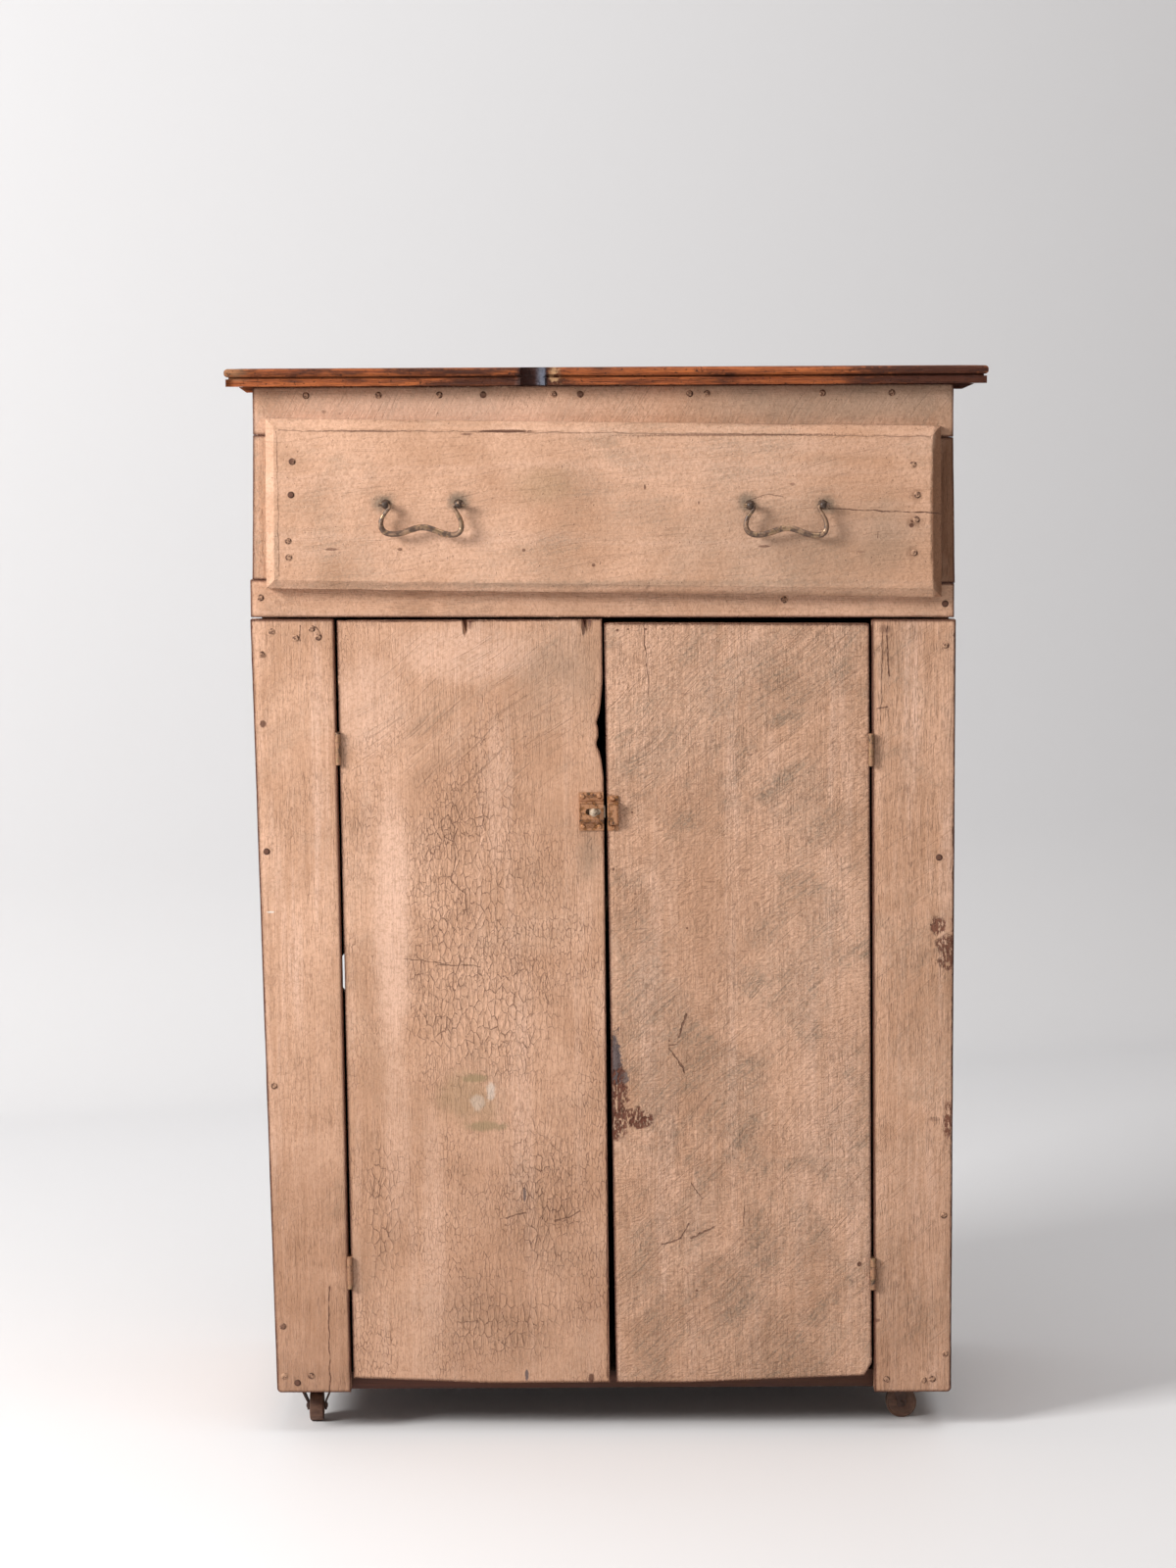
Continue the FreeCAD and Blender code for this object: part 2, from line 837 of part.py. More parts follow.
def make_strips():
    width = {name: f"side_{name} - side_thickness - " for name in SIGNS}
    wide = {name: start + "runner_width" for name, start in width.items()}
    narrow = {name: start + "cleat_size" for name, start in width.items()}
    shelf_foot = "shelf_top - shelf_thickness"
    side_strips("shelf_cleats", narrow, f"{shelf_foot} - cleat_size", shelf_foot, "shelf_set_back")
    runner_foot = "drawer_floor - runner_height"
    side_strips("drawer_runners", wide, runner_foot, "drawer_floor", "frame_thickness")
    beside = {name: "half_drawer + drawer_side_play" for name in SIGNS}
    side_strips(
        "drawer_guides", beside, "drawer_floor", "drawer_floor + guide_height", "frame_thickness"
    )
    kicker_foot = "drawer_underside + drawer_side_height + drawer_top_play"
    side_strips(
        "drawer_kickers", wide, kicker_foot, f"{kicker_foot} + runner_height", "frame_thickness"
    )


# Corner blocks on the bottom board, each bored for a caster socket.
def make_caster_blocks():
    blocks = []
    for (name, side, y, turn), spot in zip(CASTERS, caster_spots()):
        front = "frame_thickness + block_front_gap"
        if name.startswith("back"):
            front = "case_depth - frame_thickness - block_front_gap - block_size"
        inner = f"{SIGNS[side]} * (side_{side} - side_thickness - block_size)"
        high = "bottom_top + block_height"
        points = [
            (side_line(side, "bottom_top", "side_thickness"), "bottom_top"),
            (inner, "bottom_top"),
            (inner, high),
            (side_line(side, high, "side_thickness"), high),
        ]
        body = front_board("caster_block", points, "block_size", front)
        drill_for_sockets(body, [spot], front)
        blocks.append(body)
    finish(group(blocks), "caster_blocks")


# ---- drawer ----

# The drawer front covers its opening; it was cut out of square and is bevelled all round.
def front_corner(sign, up, inset):
    level = "top" if up == "1" else "foot"
    x = f"front_shift + {sign} * (front_half_{level} - {inset})"
    z = f"front_{level} - {up} * {inset} - front_{level}_fall * {sign} / 2"
    return x, z


def make_drawer_front():
    body = new_body("drawer_front")
    corners = (("-1", "-1"), ("1", "-1"), ("1", "1"), ("-1", "1"))
    outer = [front_corner(sign, up, "0") for sign, up in corners]
    inner = [front_corner(sign, up, "bevel_width") for sign, up in corners]
    edge = "front_thickness - bevel_depth"
    pad(body, outline_sketch(body, "XZ", outer), edge)
    doc.recompute()
    bevel = body.newObject("PartDesign::AdditiveLoft", "Bevel")
    bevel.Profile = outline_sketch(body, "XZ", outer, edge)
    bevel.Sections = [outline_sketch(body, "XZ", inner, "front_thickness")]
    bevel.Ruled = True
    doc.recompute()
    holes = new_sketch(body, "XZ")
    for x, z in post_spots():
        draw_circle(holes, x, z, "post_shank")
    pocket_through(body, holes)
    seat(body, "0", "-front_gap")
    finish(body, "drawer_front")


def post_spots(names=("left", "right")):
    spots = []
    for name, sign in SIGNS.items():
        if name in names:
            for end in ("-1", "1"):
                spots.append((f"{sign} * pull_{name} + {end} * half_spread", f"pull_{name}_height"))
    return spots


def make_drawer_box():
    foot = "drawer_underside"
    top = "drawer_underside + drawer_side_height"
    panel_foot = "drawer_underside + drawer_bottom_height"
    panel_top = f"{panel_foot} + drawer_bottom_thickness"
    depth = "drawer_depth"
    back = f"drawer_depth - drawer_side_thickness"
    for name, sign in SIGNS.items():
        points = rectangle("0", depth, foot, top)
        inner = f"{sign} * (half_drawer - drawer_side_thickness)"
        x = f"-half_drawer" if name == "left" else inner
        side = side_board(f"drawer_side_{name}", points, "drawer_side_thickness", x)
        groove_start = "drawer_side_thickness - drawer_groove" if name == "left" else "0"
        groove = outline_sketch(
            side,
            "YZ",
            rectangle(
                "0", depth, f"{panel_foot} - drawer_panel_play", f"{panel_top} + drawer_panel_play"
            ),
            groove_start,
        )
        pocket(side, groove, "drawer_groove", reverse=True)
        bind(side, ".Placement.Base.y", "shift_y - front_gap")
        finish(side, f"drawer_side_{name}")

    half_panel = "half_drawer - drawer_side_thickness + drawer_groove - drawer_panel_play"
    panel = flat_board(
        "drawer_bottom", rectangle(f"-({half_panel})", half_panel, "0", depth),
        "drawer_bottom_thickness", panel_foot,
    )
    bind(panel, ".Placement.Base.y", "shift_y - front_gap")
    finish(panel, "drawer_bottom")

    half_inside = "half_drawer - drawer_side_thickness"
    rear = front_board(
        "drawer_back",
        rectangle(f"-({half_inside})", half_inside, panel_top, f"{top} - drawer_back_drop"),
        "drawer_side_thickness",
        f"{back} - front_gap",
    )
    finish(rear, "drawer_back")


# A pull post turned in one piece: rosette, neck and a ball drilled for the bail, with its shank
# through the drawer front.
def make_pull_post(x, z):
    body = new_body("pull_post")
    shank_end = "front_thickness + nut_thickness + shank_spare"
    profile = new_sketch(body, "XY")
    draw_outline(
        profile,
        [
            ("0", "-post_standoff"),
            ("post_neck", "-post_standoff"),
            ("post_neck", "-rosette_thickness - post_neck"),
            ("rosette_radius", "-rosette_thickness / 2"),
            ("rosette_radius", "0"),
            ("post_shank", "0"),
            ("post_shank", shank_end),
            ("0", shank_end),
        ],
    )
    revolve(body, profile, "V_Axis")
    ball = body.newObject("PartDesign::AdditiveSphere", "Ball")
    bind(ball, "Radius", "post_ball")
    bind(ball, ".AttachmentOffset.Base.y", "-post_standoff")
    attach(body, ball, "XY")
    doc.recompute()
    eye = circle_sketch(body, "YZ", "-post_standoff", "0", "bail_rod + eye_play")
    pocket_through(body, eye)
    seat(body, x, "front_face", z)
    return body


# A square nut on the shank, inside the drawer.
def make_pull_nut(x, z):
    blank = block(
        "-nut_size / 2", "-front_gap", "-nut_size / 2", "nut_size", "nut_thickness", "nut_size"
    )
    nut = cut(blank, bar("Y", "0", "-front_gap - nut_thickness", "0", "post_shank", "3 * nut_thickness"))
    seat(nut, x, "0", z)
    return nut


def make_pulls():
    nuts = []
    for name, sign in SIGNS.items():
        posts = []
        for x, z in post_spots((name,)):
            posts.append(make_pull_post(x, z))
            nuts.append(make_pull_nut(x, z))
        finish(group(posts), f"pull_posts_{name}")
        label = f"bail_{name}"
        finish(make_bail(label, f"{sign} * pull_{name}", f"pull_{name}_height"), label)
    finish(group(nuts), "pull_nuts")


# A wire through corner points, each corner rounded with its own radius.
def rounded_wire(points, radii):
    edges = []
    start = points[0]
    for before, corner, after, radius in zip(points, points[1:], points[2:], radii):
        back = (before - corner).normalize()
        ahead = (after - corner).normalize()
        half_angle = back.getAngle(ahead) / 2
        reach = radius / math.tan(half_angle)
        inward = (back + ahead).normalize()
        centre = corner + inward * (radius / math.sin(half_angle))
        middle = centre - inward * radius
        edges.append(Part.LineSegment(start, corner + back * reach).toShape())
        edges.append(Part.Arc(corner + back * reach, middle, corner + ahead * reach).toShape())
        start = corner + ahead * reach
    edges.append(Part.LineSegment(start, points[-1]).toShape())
    return Part.Wire(edges)


# The swan-neck bail: a round rod whose two ends point outwards through the balls of the posts.
def make_bail(label, place, height):
    half = SIZES["pull_spread"] / 2
    arms = {}
    for name, side in SIGNS.items():
        arm = [
            (half + SIZES["bail_tip"], 0),
            (half - SIZES["bail_neck"], 0),
            (half + SIZES[f"bail_bulge_{name}"], -SIZES["bail_shoulder"]),
            (half - SIZES["bail_corner"], -SIZES["bail_drop"]),
        ]
        arms[name] = [FreeCAD.Vector(float(side) * x, 0, z) for x, z in arm]
    middle = FreeCAD.Vector(0, 0, SIZES["bail_rise"] - SIZES["bail_drop"])
    points = arms["left"] + [middle] + arms["right"][::-1]
    tight = 1.16 * SIZES["bail_rod"]
    corner = 4 * SIZES["bail_rod"]
    sweep_radii = [tight, corner, corner * 1.2, corner * 4, corner * 1.2, corner, tight]

    spine = doc.addObject("Part::Feature", "BailLine")
    spine.Shape = rounded_wire(points, sweep_radii)
    section = doc.addObject("Part::Circle", "BailSection")
    bind(section, "Radius", "bail_rod")
    section.Placement = FreeCAD.Placement(points[0], AXES["X"])
    sweep = doc.addObject("Part::Sweep", label)
    sweep.Sections = [section]
    sweep.Spine = (spine, [f"Edge{index + 1}" for index in range(len(spine.Shape.Edges))])
    sweep.Solid = True
    sweep.Transition = "Transformed"
    seat(sweep, place, "front_face - post_standoff", height)
    return sweep


# ---- doors ----

def make_left_door_board():
    points = [
        ("door_gap_left", "left_foot_hinge_side"),
        ("left_foot_bend", "left_foot_middle"),
        ("left_reach_foot", "left_foot_free_side"),
        ("left_reach_top", "left_top_free_side"),
        ("door_gap_left", "left_top_hinge_side"),
    ]
    body = front_board("door_left_board", points, "door_thickness")
    wear = []
    slope = "(left_reach_top - left_reach_foot) / left_top_free_side"
    for depth, drop in WORN_EDGE:
        height = f"left_top_free_side - wear_drop - {drop} * wear_height"
        edge = f"left_reach_foot + {slope} * ({height})"
        wear.append((f"{edge} - {depth} * wear_height", height))
    outside = "left_reach_top + door_gap_left"
    wear = [(outside, wear[0][1])] + wear + [(outside, wear[-1][1])]
    pocket_through(body, outline_sketch(body, "XZ", wear))
    # two tapering gouges run down the face from the top edge
    for index, reach in enumerate(("gouge_reach_near", "gouge_reach_far")):
        doc.recompute()
        gouge = body.newObject("PartDesign::SubtractiveCone", f"Gouge{index}")
        bind(gouge, "Radius1", "gouge_radius / 10")
        bind(gouge, "Radius2", "gouge_radius")
        bind(gouge, "Height", "gouge_length + 4")
        attach(body, gouge, "XY")
        bind(gouge, ".AttachmentOffset.Base.x", reach)
        bind(gouge, ".AttachmentOffset.Base.y", "-gouge_radius / 3")
        bind(gouge, ".AttachmentOffset.Base.z", "left_top_free_side - gouge_length")
    hang(body, "left")
    finish(body, "door_left_board")


def make_right_door_board():
    points = [
        ("-door_gap_right - chip_width", "right_foot_hinge_side"),
        ("-door_gap_right", "right_foot_hinge_side + chip_height"),
        ("-door_gap_right", "right_top_hinge_side"),
        ("-right_reach_top", "right_top_free_side"),
        ("-right_reach_foot", "right_foot_free_side"),
        ("-right_foot_bend", "right_foot_middle"),
    ]
    body = front_board("door_right_board", points, "door_thickness")
    hang(body, "right")
    finish(body, "door_right_board")


# Two battens across the back of each door keep its wide board flat.
def make_door_battens():
    for name, sign in SIGNS.items():
        battens = []
        for height in ("lower_batten", "upper_batten"):
            near = f"-{sign} * door_batten_margin"
            far = f"-{sign} * ({name}_reach_foot - door_batten_margin)"
            points = rectangle(near, far, height, f"{height} + door_batten_width")
            body = front_board("door_batten", points, "door_batten_thickness")

            def on_far_face(box):
                return is_short(box.YLength) and is_short(SIZES["door_batten_thickness"] - box.YMin)

            dress(body, "Chamfer", "Size", "door_batten_thickness / 4", on_far_face)
            hang(body, name, "door_thickness")
            battens.append(body)
        finish(group(battens), f"door_{name}_battens")


# One leaf of a butt hinge. It lies against the edge of a board and wraps round the pin in
# knuckles, which are given by the middle height and the length of each.
def make_leaf(name, outward, height, knuckles):
    left = f"door_gap_{name} - leaf_thickness" if outward else f"-door_gap_{name}"
    if name == "right":
        left = f"-door_gap_{name}" if outward else f"door_gap_{name} - leaf_thickness"
    half = "(middle_knuckle / 2 + knuckle_play + end_knuckle)"
    leaf_front = "knuckle_radius + knuckle_play - knuckle_proud"
    pieces = [
        block(left, leaf_front, f"{height} - {half}", "leaf_thickness", "leaf_depth", f"2 * {half}")
    ]
    for rise, length in knuckles:
        foot = f"{height} + {rise} - {length} / 2"
        neck = f"knuckle_proud + {leaf_front}"
        pieces.append(block(left, "-knuckle_proud", foot, "leaf_thickness", neck, length))
        pieces.append(bar("Z", "0", "-knuckle_proud", foot, "knuckle_radius", length))
    bore = bar(
        "Z", "0", "-knuckle_proud", f"{height} - 2 * {half}", "hinge_pin + pin_play", f"4 * {half}"
    )
    return cut(fuse(pieces), bore)


# Each hinge has two end knuckles on the frame leaf and a longer one between them on the door leaf.
def make_hinges():
    middle = (("0", "middle_knuckle"),)
    offset = "(middle_knuckle / 2 + knuckle_play + end_knuckle / 2)"
    ends = ((f"-{offset}", "end_knuckle"), (offset, "end_knuckle"))
    pins = []
    for name in SIGNS:
        door_leaves = []
        frame_leaves = []
        for place in (f"lower_hinge_{name}", f"upper_hinge_{name}"):
            door_leaves.append(make_leaf(name, True, place, middle))
            frame_leaves.append(make_leaf(name, False, place, ends))
            reach = "(middle_knuckle / 2 + knuckle_play + end_knuckle)"
            pin = bar("Z", "0", "-knuckle_proud", f"{place} - {reach}", "hinge_pin", f"2 * {reach}")
            holder = group([pin])
            hang(holder, name)
            pins.append(holder)
        for label, leaves in (("door", door_leaves), ("frame", frame_leaves)):
            both = group(leaves)
            hang(both, name)
            finish(both, f"{label}_hinge_leaves_{name}")
    finish(group(pins), "hinge_pins")


# ---- catch ----

# The catch on the left door: a plate with a raised box, open towards the meeting edge, and a
# slot for the knob.
def make_catch():
    right = "left_reach_catch - catch_edge_gap"
    left = f"{right} - catch_plate_width"
    plate = block(
        left, "-catch_plate_thickness", "catch_height - catch_plate_height / 2",
        "catch_plate_width", "catch_plate_thickness", "catch_plate_height",
    )
    housing = block(
        left, "-catch_box_depth", "catch_height - catch_box_height / 2",
        "catch_plate_width", "catch_box_depth", "catch_box_height",
    )
    hollow = block(
        f"{left} + catch_wall", "-catch_box_depth + catch_wall",
        "catch_height - catch_box_height / 2 + catch_wall",
        "catch_plate_width", "catch_box_depth", "catch_box_height - 2 * catch_wall",
    )
    slot_right = "left_reach_catch - slot_margin"
    half = "slot_height / 2"
    middle = block(
        f"{slot_right} - slot_length + {half}", "-2 * catch_box_depth", f"catch_height - {half}",
        "slot_length - slot_height", "2 * catch_box_depth", "slot_height",
    )
    ends = []
    for x in (f"{slot_right} - slot_length + {half}", f"{slot_right} - {half}"):
        ends.append(bar("Y", x, "-2 * catch_box_depth", "catch_height", half, "2 * catch_box_depth"))
    case = cut(cut(fuse([plate, housing]), hollow), fuse([middle] + ends))
    hang(case, "left")
    finish(case, "catch_case")


# The sliding bolt with its turned knob.
def make_catch_bolt():
    tip = "left_reach_catch + bolt_reach"
    stem = "left_reach_catch - knob_set_back"
    back = "-catch_box_depth + catch_wall + bolt_play"
    tongue = block(
        f"{tip} - bolt_length", back, "catch_height - bolt_height / 2",
        "bolt_length", "bolt_thickness", "bolt_height",
    )
    neck = bar(
        "Y", stem, "-catch_box_depth - knob_radius", "catch_height",
        "knob_stem", f"knob_radius + catch_wall + bolt_play + bolt_thickness / 2",
    )
    knob = doc.addObject("Part::Sphere", "Knob")
    bind(knob, "Radius", "knob_radius")
    bind(knob, ".Placement.Base.x", stem)
    bind(knob, ".Placement.Base.y", "-catch_box_depth - knob_radius - bolt_play")
    bind(knob, ".Placement.Base.z", "catch_height")
    bolt = fuse([tongue, neck, knob])
    hang(bolt, "left")
    finish(bolt, "catch_bolt")


# The keeper on the right door: a raised box that takes the tip of the bolt.
def make_keeper():
    left = "-right_reach_catch + keeper_inset"
    plate = block(
        left, "-catch_plate_thickness", "keeper_centre - keeper_height / 2",
        "keeper_width", "catch_plate_thickness", "keeper_height",
    )
    housing = block(
        left, "-keeper_depth", "keeper_centre - keeper_box_height / 2",
        "keeper_width", "keeper_depth", "keeper_box_height",
    )
    hollow = block(
        f"{left} - catch_wall", "-keeper_depth + catch_wall",
        "keeper_centre - keeper_box_height / 2 + catch_wall",
        "keeper_width", "keeper_depth", "keeper_box_height - 2 * catch_wall",
    )
    keeper = cut(fuse([plate, housing]), hollow)
    hang(keeper, "right")
    finish(keeper, "catch_keeper")


# A round-head screw whose head rests on a plate on the door's face.
def make_screw(x, z, name):
    body = new_body("screw")
    profile = new_sketch(body, "XY")
    draw_outline(
        profile,
        [
            ("0", "-catch_plate_thickness - screw_dome"),
            ("screw_head * 0.6", "-catch_plate_thickness - screw_dome"),
            ("screw_head", "-catch_plate_thickness - screw_dome * 0.3"),
            ("screw_head", "-catch_plate_thickness"),
            ("screw_shank", "-catch_plate_thickness"),
            ("screw_shank", "screw_length - screw_shank * 2"),
            ("0", "screw_length"),
        ],
    )
    revolve(body, profile, "V_Axis")
    bind(body, ".Placement.Base.x", x)
    bind(body, ".Placement.Base.z", z)
    holder = group([body])
    hang(holder, name)
    return holder


def make_catch_screws():
    right = "left_reach_catch - catch_edge_gap"
    screws = []
    for x in (f"{right} - screw_inset", f"{right} - catch_plate_width + screw_inset"):
        for up in ("-1", "1"):
            z = f"catch_height + {up} * (catch_plate_height / 2 - screw_inset)"
            screws.append(make_screw(x, z, "left"))
    finish(group(screws), "catch_screws")

    screws = []
    for up in ("-1", "1"):
        x = "-right_reach_catch + keeper_inset + keeper_width / 2"
        z = f"keeper_centre + {up} * (keeper_height / 2 - screw_head - 0.6)"
        screws.append(make_screw(x, z, "right"))
    finish(group(screws), "keeper_screws")


# ---- casters ----

def turn_caster(piece, x, y, turn):
    piece.Placement.Rotation = FreeCAD.Rotation(FreeCAD.Vector(0, 0, 1), turn)
    seat(piece, x, y)


# The fork, drawn with its axle along Y and its trail along +X: a crown over the wheel, two arms
# that narrow to round ends, and the pintle on which it swivels.
def make_fork():
    body = new_body("caster_fork")
    arch = [
        ("-crown_half_width", "crown_top"),
        ("-crown_half_width", "crown_underside"),
        ("-arm_outside", "shoulder_height"),
        ("-arm_outside", "wheel_radius - arm_end"),
        ("-arm_inside", "wheel_radius - arm_end"),
        ("-arm_inside", "shoulder_height"),
        ("-crown_half_width + arm_thickness", "crown_underside"),
        ("crown_half_width - arm_thickness", "crown_underside"),
        ("arm_inside", "shoulder_height"),
        ("arm_inside", "wheel_radius - arm_end"),
        ("arm_outside", "wheel_radius - arm_end"),
        ("arm_outside", "shoulder_height"),
        ("crown_half_width", "crown_underside"),
        ("crown_half_width", "crown_top"),
    ]
    pad(body, outline_sketch(body, "YZ", arch), "2 * crown_length", middle=True)
    doc.recompute()
    profile = new_sketch(body, "XZ")
    draw_outline(
        profile,
        rectangle("-2 * crown_length", "2 * crown_length", "0", "crown_top + crown_length"),
    )
    draw_outline(
        profile,
        [
            ("caster_trail - arm_end * 0.5", "wheel_radius - arm_end - 0.2"),
            ("caster_trail + arm_end * 0.5", "wheel_radius - arm_end - 0.2"),
            ("caster_trail + arm_end", "wheel_radius - arm_end * 0.4"),
            ("caster_trail + arm_end", "wheel_radius + arm_end * 0.5"),
            ("crown_length / 2", "crown_underside"),
            ("crown_length / 2", "crown_top + crown_thickness"),
            ("-crown_length / 2", "crown_top + crown_thickness"),
            ("-crown_length / 2", "crown_underside"),
            ("caster_trail - arm_end", "wheel_radius + arm_end * 0.5"),
            ("caster_trail - arm_end", "wheel_radius - arm_end * 0.4"),
        ],
    )
    pocket_through(body, profile)
    doc.recompute()
    pocket_through(body, circle_sketch(body, "XZ", "caster_trail", "wheel_radius", "axle_radius"))
    doc.recompute()
    pad(body, circle_sketch(body, "XY", "0", "0", "pintle_radius", "crown_top"), "pintle_length")
    return body


# The axle is a rivet, headed over on both arms.
def make_axle():
    body = new_body("caster_axle")
    half = "arm_outside"
    end = "arm_outside + rivet_thickness"
    profile = new_sketch(body, "XY")
    draw_outline(
        profile,
        [
            ("0", f"-({end})"),
            ("rivet_head * 0.5", f"-({end})"),
            ("rivet_head", f"-({half})"),
            ("axle_radius", f"-({half})"),
            ("axle_radius", half),
            ("rivet_head", half),
            ("rivet_head * 0.5", end),
            ("0", end),
        ],
    )
    revolve(body, profile, "V_Axis")
    bind(body, ".Placement.Base.x", "caster_trail")
    bind(body, ".Placement.Base.z", "wheel_radius")
    return group([body])


# A turned wooden wheel with a rounded tread and a raised hub, bored for the axle.
def make_wheel():
    body = new_body("caster_wheel")
    bore = "axle_radius + axle_play"
    half = "wheel_width / 2"
    profile = new_sketch(body, "XY")
    draw_outline(
        profile,
        [
            (bore, f"-{half}"),
            ("wheel_hub", f"-{half}"),
            ("wheel_hub + wheel_dish", f"-{half} + wheel_dish"),
            ("wheel_radius - tread_round * 1.6", f"-{half} + wheel_dish"),
            ("wheel_radius - tread_round", f"-{half} + wheel_dish / 2"),
            ("wheel_radius", f"-{half} + tread_round"),
            ("wheel_radius", f"{half} - tread_round"),
            ("wheel_radius - tread_round", f"{half} - wheel_dish / 2"),
            ("wheel_radius - tread_round * 1.6", f"{half} - wheel_dish"),
            ("wheel_hub + wheel_dish", f"{half} - wheel_dish"),
            ("wheel_hub", half),
            (bore, half),
        ],
    )
    revolve(body, profile, "V_Axis")
    bind(body, ".Placement.Base.x", "caster_trail")
    bind(body, ".Placement.Base.z", "wheel_radius")
    return group([body])


def make_casters():
    sockets = []
    for (name, side, y, turn), (x, y) in zip(CASTERS, caster_spots()):
        for label, piece in (("fork", make_fork()), ("axle", make_axle()), ("wheel", make_wheel())):
            turn_caster(piece, x, y, turn)
            finish(piece, f"caster_{label}_{name}")
        flange_foot = "bottom_underside - socket_flange_thickness"
        flange = bar("Z", "0", "0", flange_foot, "socket_flange", "socket_flange_thickness")
        tube = bar("Z", "0", "0", flange_foot, "socket_radius", "socket_length")
        bore = bar(
            "Z", "0", "0", f"{flange_foot} - socket_length", "pintle_radius + socket_play",
            "3 * socket_length",
        )
        socket = cut(fuse([flange, tube]), bore)
        seat(socket, x, y)
        sockets.append(socket)
    finish(group(sockets), "caster_sockets")


# ---- nails ----

# A cut nail with a round, slightly domed head and a square, tapering shank, driven along +Y.
def nail_shape(length):
    head = Part.makeCone(
        SIZES["nail_head"] * 0.6, SIZES["nail_head"], SIZES["nail_dome"],
        FreeCAD.Vector(0, -SIZES["nail_dome"], 0), FreeCAD.Vector(0, 1, 0),
    )
    half = SIZES["nail_shank"] / 2
    sections = []
    for size, y in ((half, 0), (half / 2, SIZES[length])):
        corners = [(-size, -size), (size, -size), (size, size), (-size, size), (-size, -size)]
        sections.append(Part.makePolygon([FreeCAD.Vector(x, y, z) for x, z in corners]))
    return head.fuse(Part.makeLoft(sections, True))


# Nails at given places across and up the front, with their heads on a face.
def make_nails(label, spots, face):
    nails = []
    for x, z, length in spots:
        nail = doc.addObject("Part::Feature", "Nail")
        nail.Shape = nail_shape(length)
        seat(nail, x, face, z)
        nails.append(nail)
    finish(group(nails), label)


def make_frame_nails():
    spots = []
    # along the top rail, unevenly, into the batten behind it: shares of the case's half width
    for share in (-0.846, -0.639, -0.465, -0.340, -0.139, -0.063, 0.250, 0.299, 0.629, 0.827):
        spots.append((f"{share} * half_case", "top_underside - 0.475 * batten_size", "nail_length"))
    # into the side panels: how far into the panel's thickness, and how far up the case
    for name, inset, rise in (
        ("left", 0.060, 0.8034), ("left", 0.649, 0.7714), ("left", 0.060, 0.7501),
        ("left", 0.073, 0.5637), ("left", 0.198, 0.3391), ("left", 0.372, 0.1056),
        ("left", 0.400, 0.0568), ("right", 0.308, 0.7945), ("right", 0.264, 0.7554),
        ("right", 0.623, 0.5548), ("right", 0.330, 0.2104), ("right", 0.254, 0.0755),
        ("right", 0.969, 0.0506),
    ):
        height = f"{rise} * top_underside"
        spots.append((side_line(name, height, f"{inset} * side_thickness"), height, "nail_length"))
    # short ones, where nothing stands behind the frame
    for share, rise in ((-0.884, -0.533), (-0.838, -0.270), (-0.819, -0.507), (0.520, 0.465)):
        spots.append((f"{share} * half_case", f"waist_bottom + {rise} * waist_height", "short_nail"))
    # across the feet of the stiles, into the bottom board and its blocks
    for share, rise in ((-0.909, 0.658), (-0.868, 1.053), (0.822, 0.684), (0.931, 0.632)):
        height = f"bottom_underside + {rise} * bottom_thickness"
        spots.append((f"{share} * half_case", height, "nail_length"))
    make_nails("frame_nails", spots, "0")


# The drawer's front is nailed to the ends of its sides: shares of its half width and of its height.
def make_drawer_nails():
    spots = []
    for share, rise in (
        (-0.978, 0.924), (-0.983, 0.663), (-0.994, 0.301), (-0.9925, 0.170),
        (0.979, 0.876), (0.992, 0.637), (0.989, 0.444), (0.983, 0.183),
    ):
        height = f"drawer_underside + {rise} * drawer_side_height"
        spots.append((f"{share} * half_drawer", height, "nail_length"))
    make_nails("drawer_nails", spots, "front_face")


make_top_board()
make_top_mouldings()
make_face_frame()
make_stiles()
make_side_panels()
make_back()
make_floor_and_shelf()
make_strips()
make_caster_blocks()
make_drawer_front()
make_drawer_box()
make_pulls()
make_left_door_board()
make_right_door_board()
make_door_battens()
make_hinges()
make_catch()
make_catch_bolt()
make_keeper()
make_catch_screws()
make_casters()
make_frame_nails()
make_drawer_nails()

doc.recompute()

for thing in doc.Objects:
    if "Invalid" in thing.State or "Error" in thing.State:
        raise RuntimeError(f"{thing.Name} ({thing.Label}) failed: {thing.State}")
for node in nodes:
    if node.Shape.isNull() or not node.Shape.isValid():
        raise RuntimeError(f"{node.Label} has no valid shape")

os.makedirs("parts", exist_ok=True)
for node in nodes:
    node.Shape.exportStep(f"parts/{node.Label}.step")
    print(f"{node.Label}: {len(node.Shape.Solids)} solid(s), {node.Shape.Volume / 1000:.1f} cm3")
print(f"{len(nodes)} nodes")
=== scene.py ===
import math

import bmesh
import bpy
from mathutils import Matrix, Vector, noise


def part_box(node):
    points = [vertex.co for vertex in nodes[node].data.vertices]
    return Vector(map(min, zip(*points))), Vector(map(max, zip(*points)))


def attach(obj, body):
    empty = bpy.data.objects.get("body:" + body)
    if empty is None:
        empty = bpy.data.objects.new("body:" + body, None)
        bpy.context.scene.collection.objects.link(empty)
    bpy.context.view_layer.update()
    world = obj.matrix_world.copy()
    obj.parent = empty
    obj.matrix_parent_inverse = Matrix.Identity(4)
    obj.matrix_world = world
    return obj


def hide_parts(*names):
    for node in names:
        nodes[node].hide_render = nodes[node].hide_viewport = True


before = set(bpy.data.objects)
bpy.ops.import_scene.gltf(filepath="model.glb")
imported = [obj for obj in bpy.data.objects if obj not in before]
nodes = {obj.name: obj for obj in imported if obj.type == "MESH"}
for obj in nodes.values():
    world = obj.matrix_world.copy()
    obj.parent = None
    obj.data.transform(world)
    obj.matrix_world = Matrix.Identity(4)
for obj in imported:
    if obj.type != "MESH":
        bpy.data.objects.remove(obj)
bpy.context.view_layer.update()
print("frame loaded:", len(nodes), "pieces")


# small helpers for node trees; they all add to the tree that is being built

building = {"tree": None}


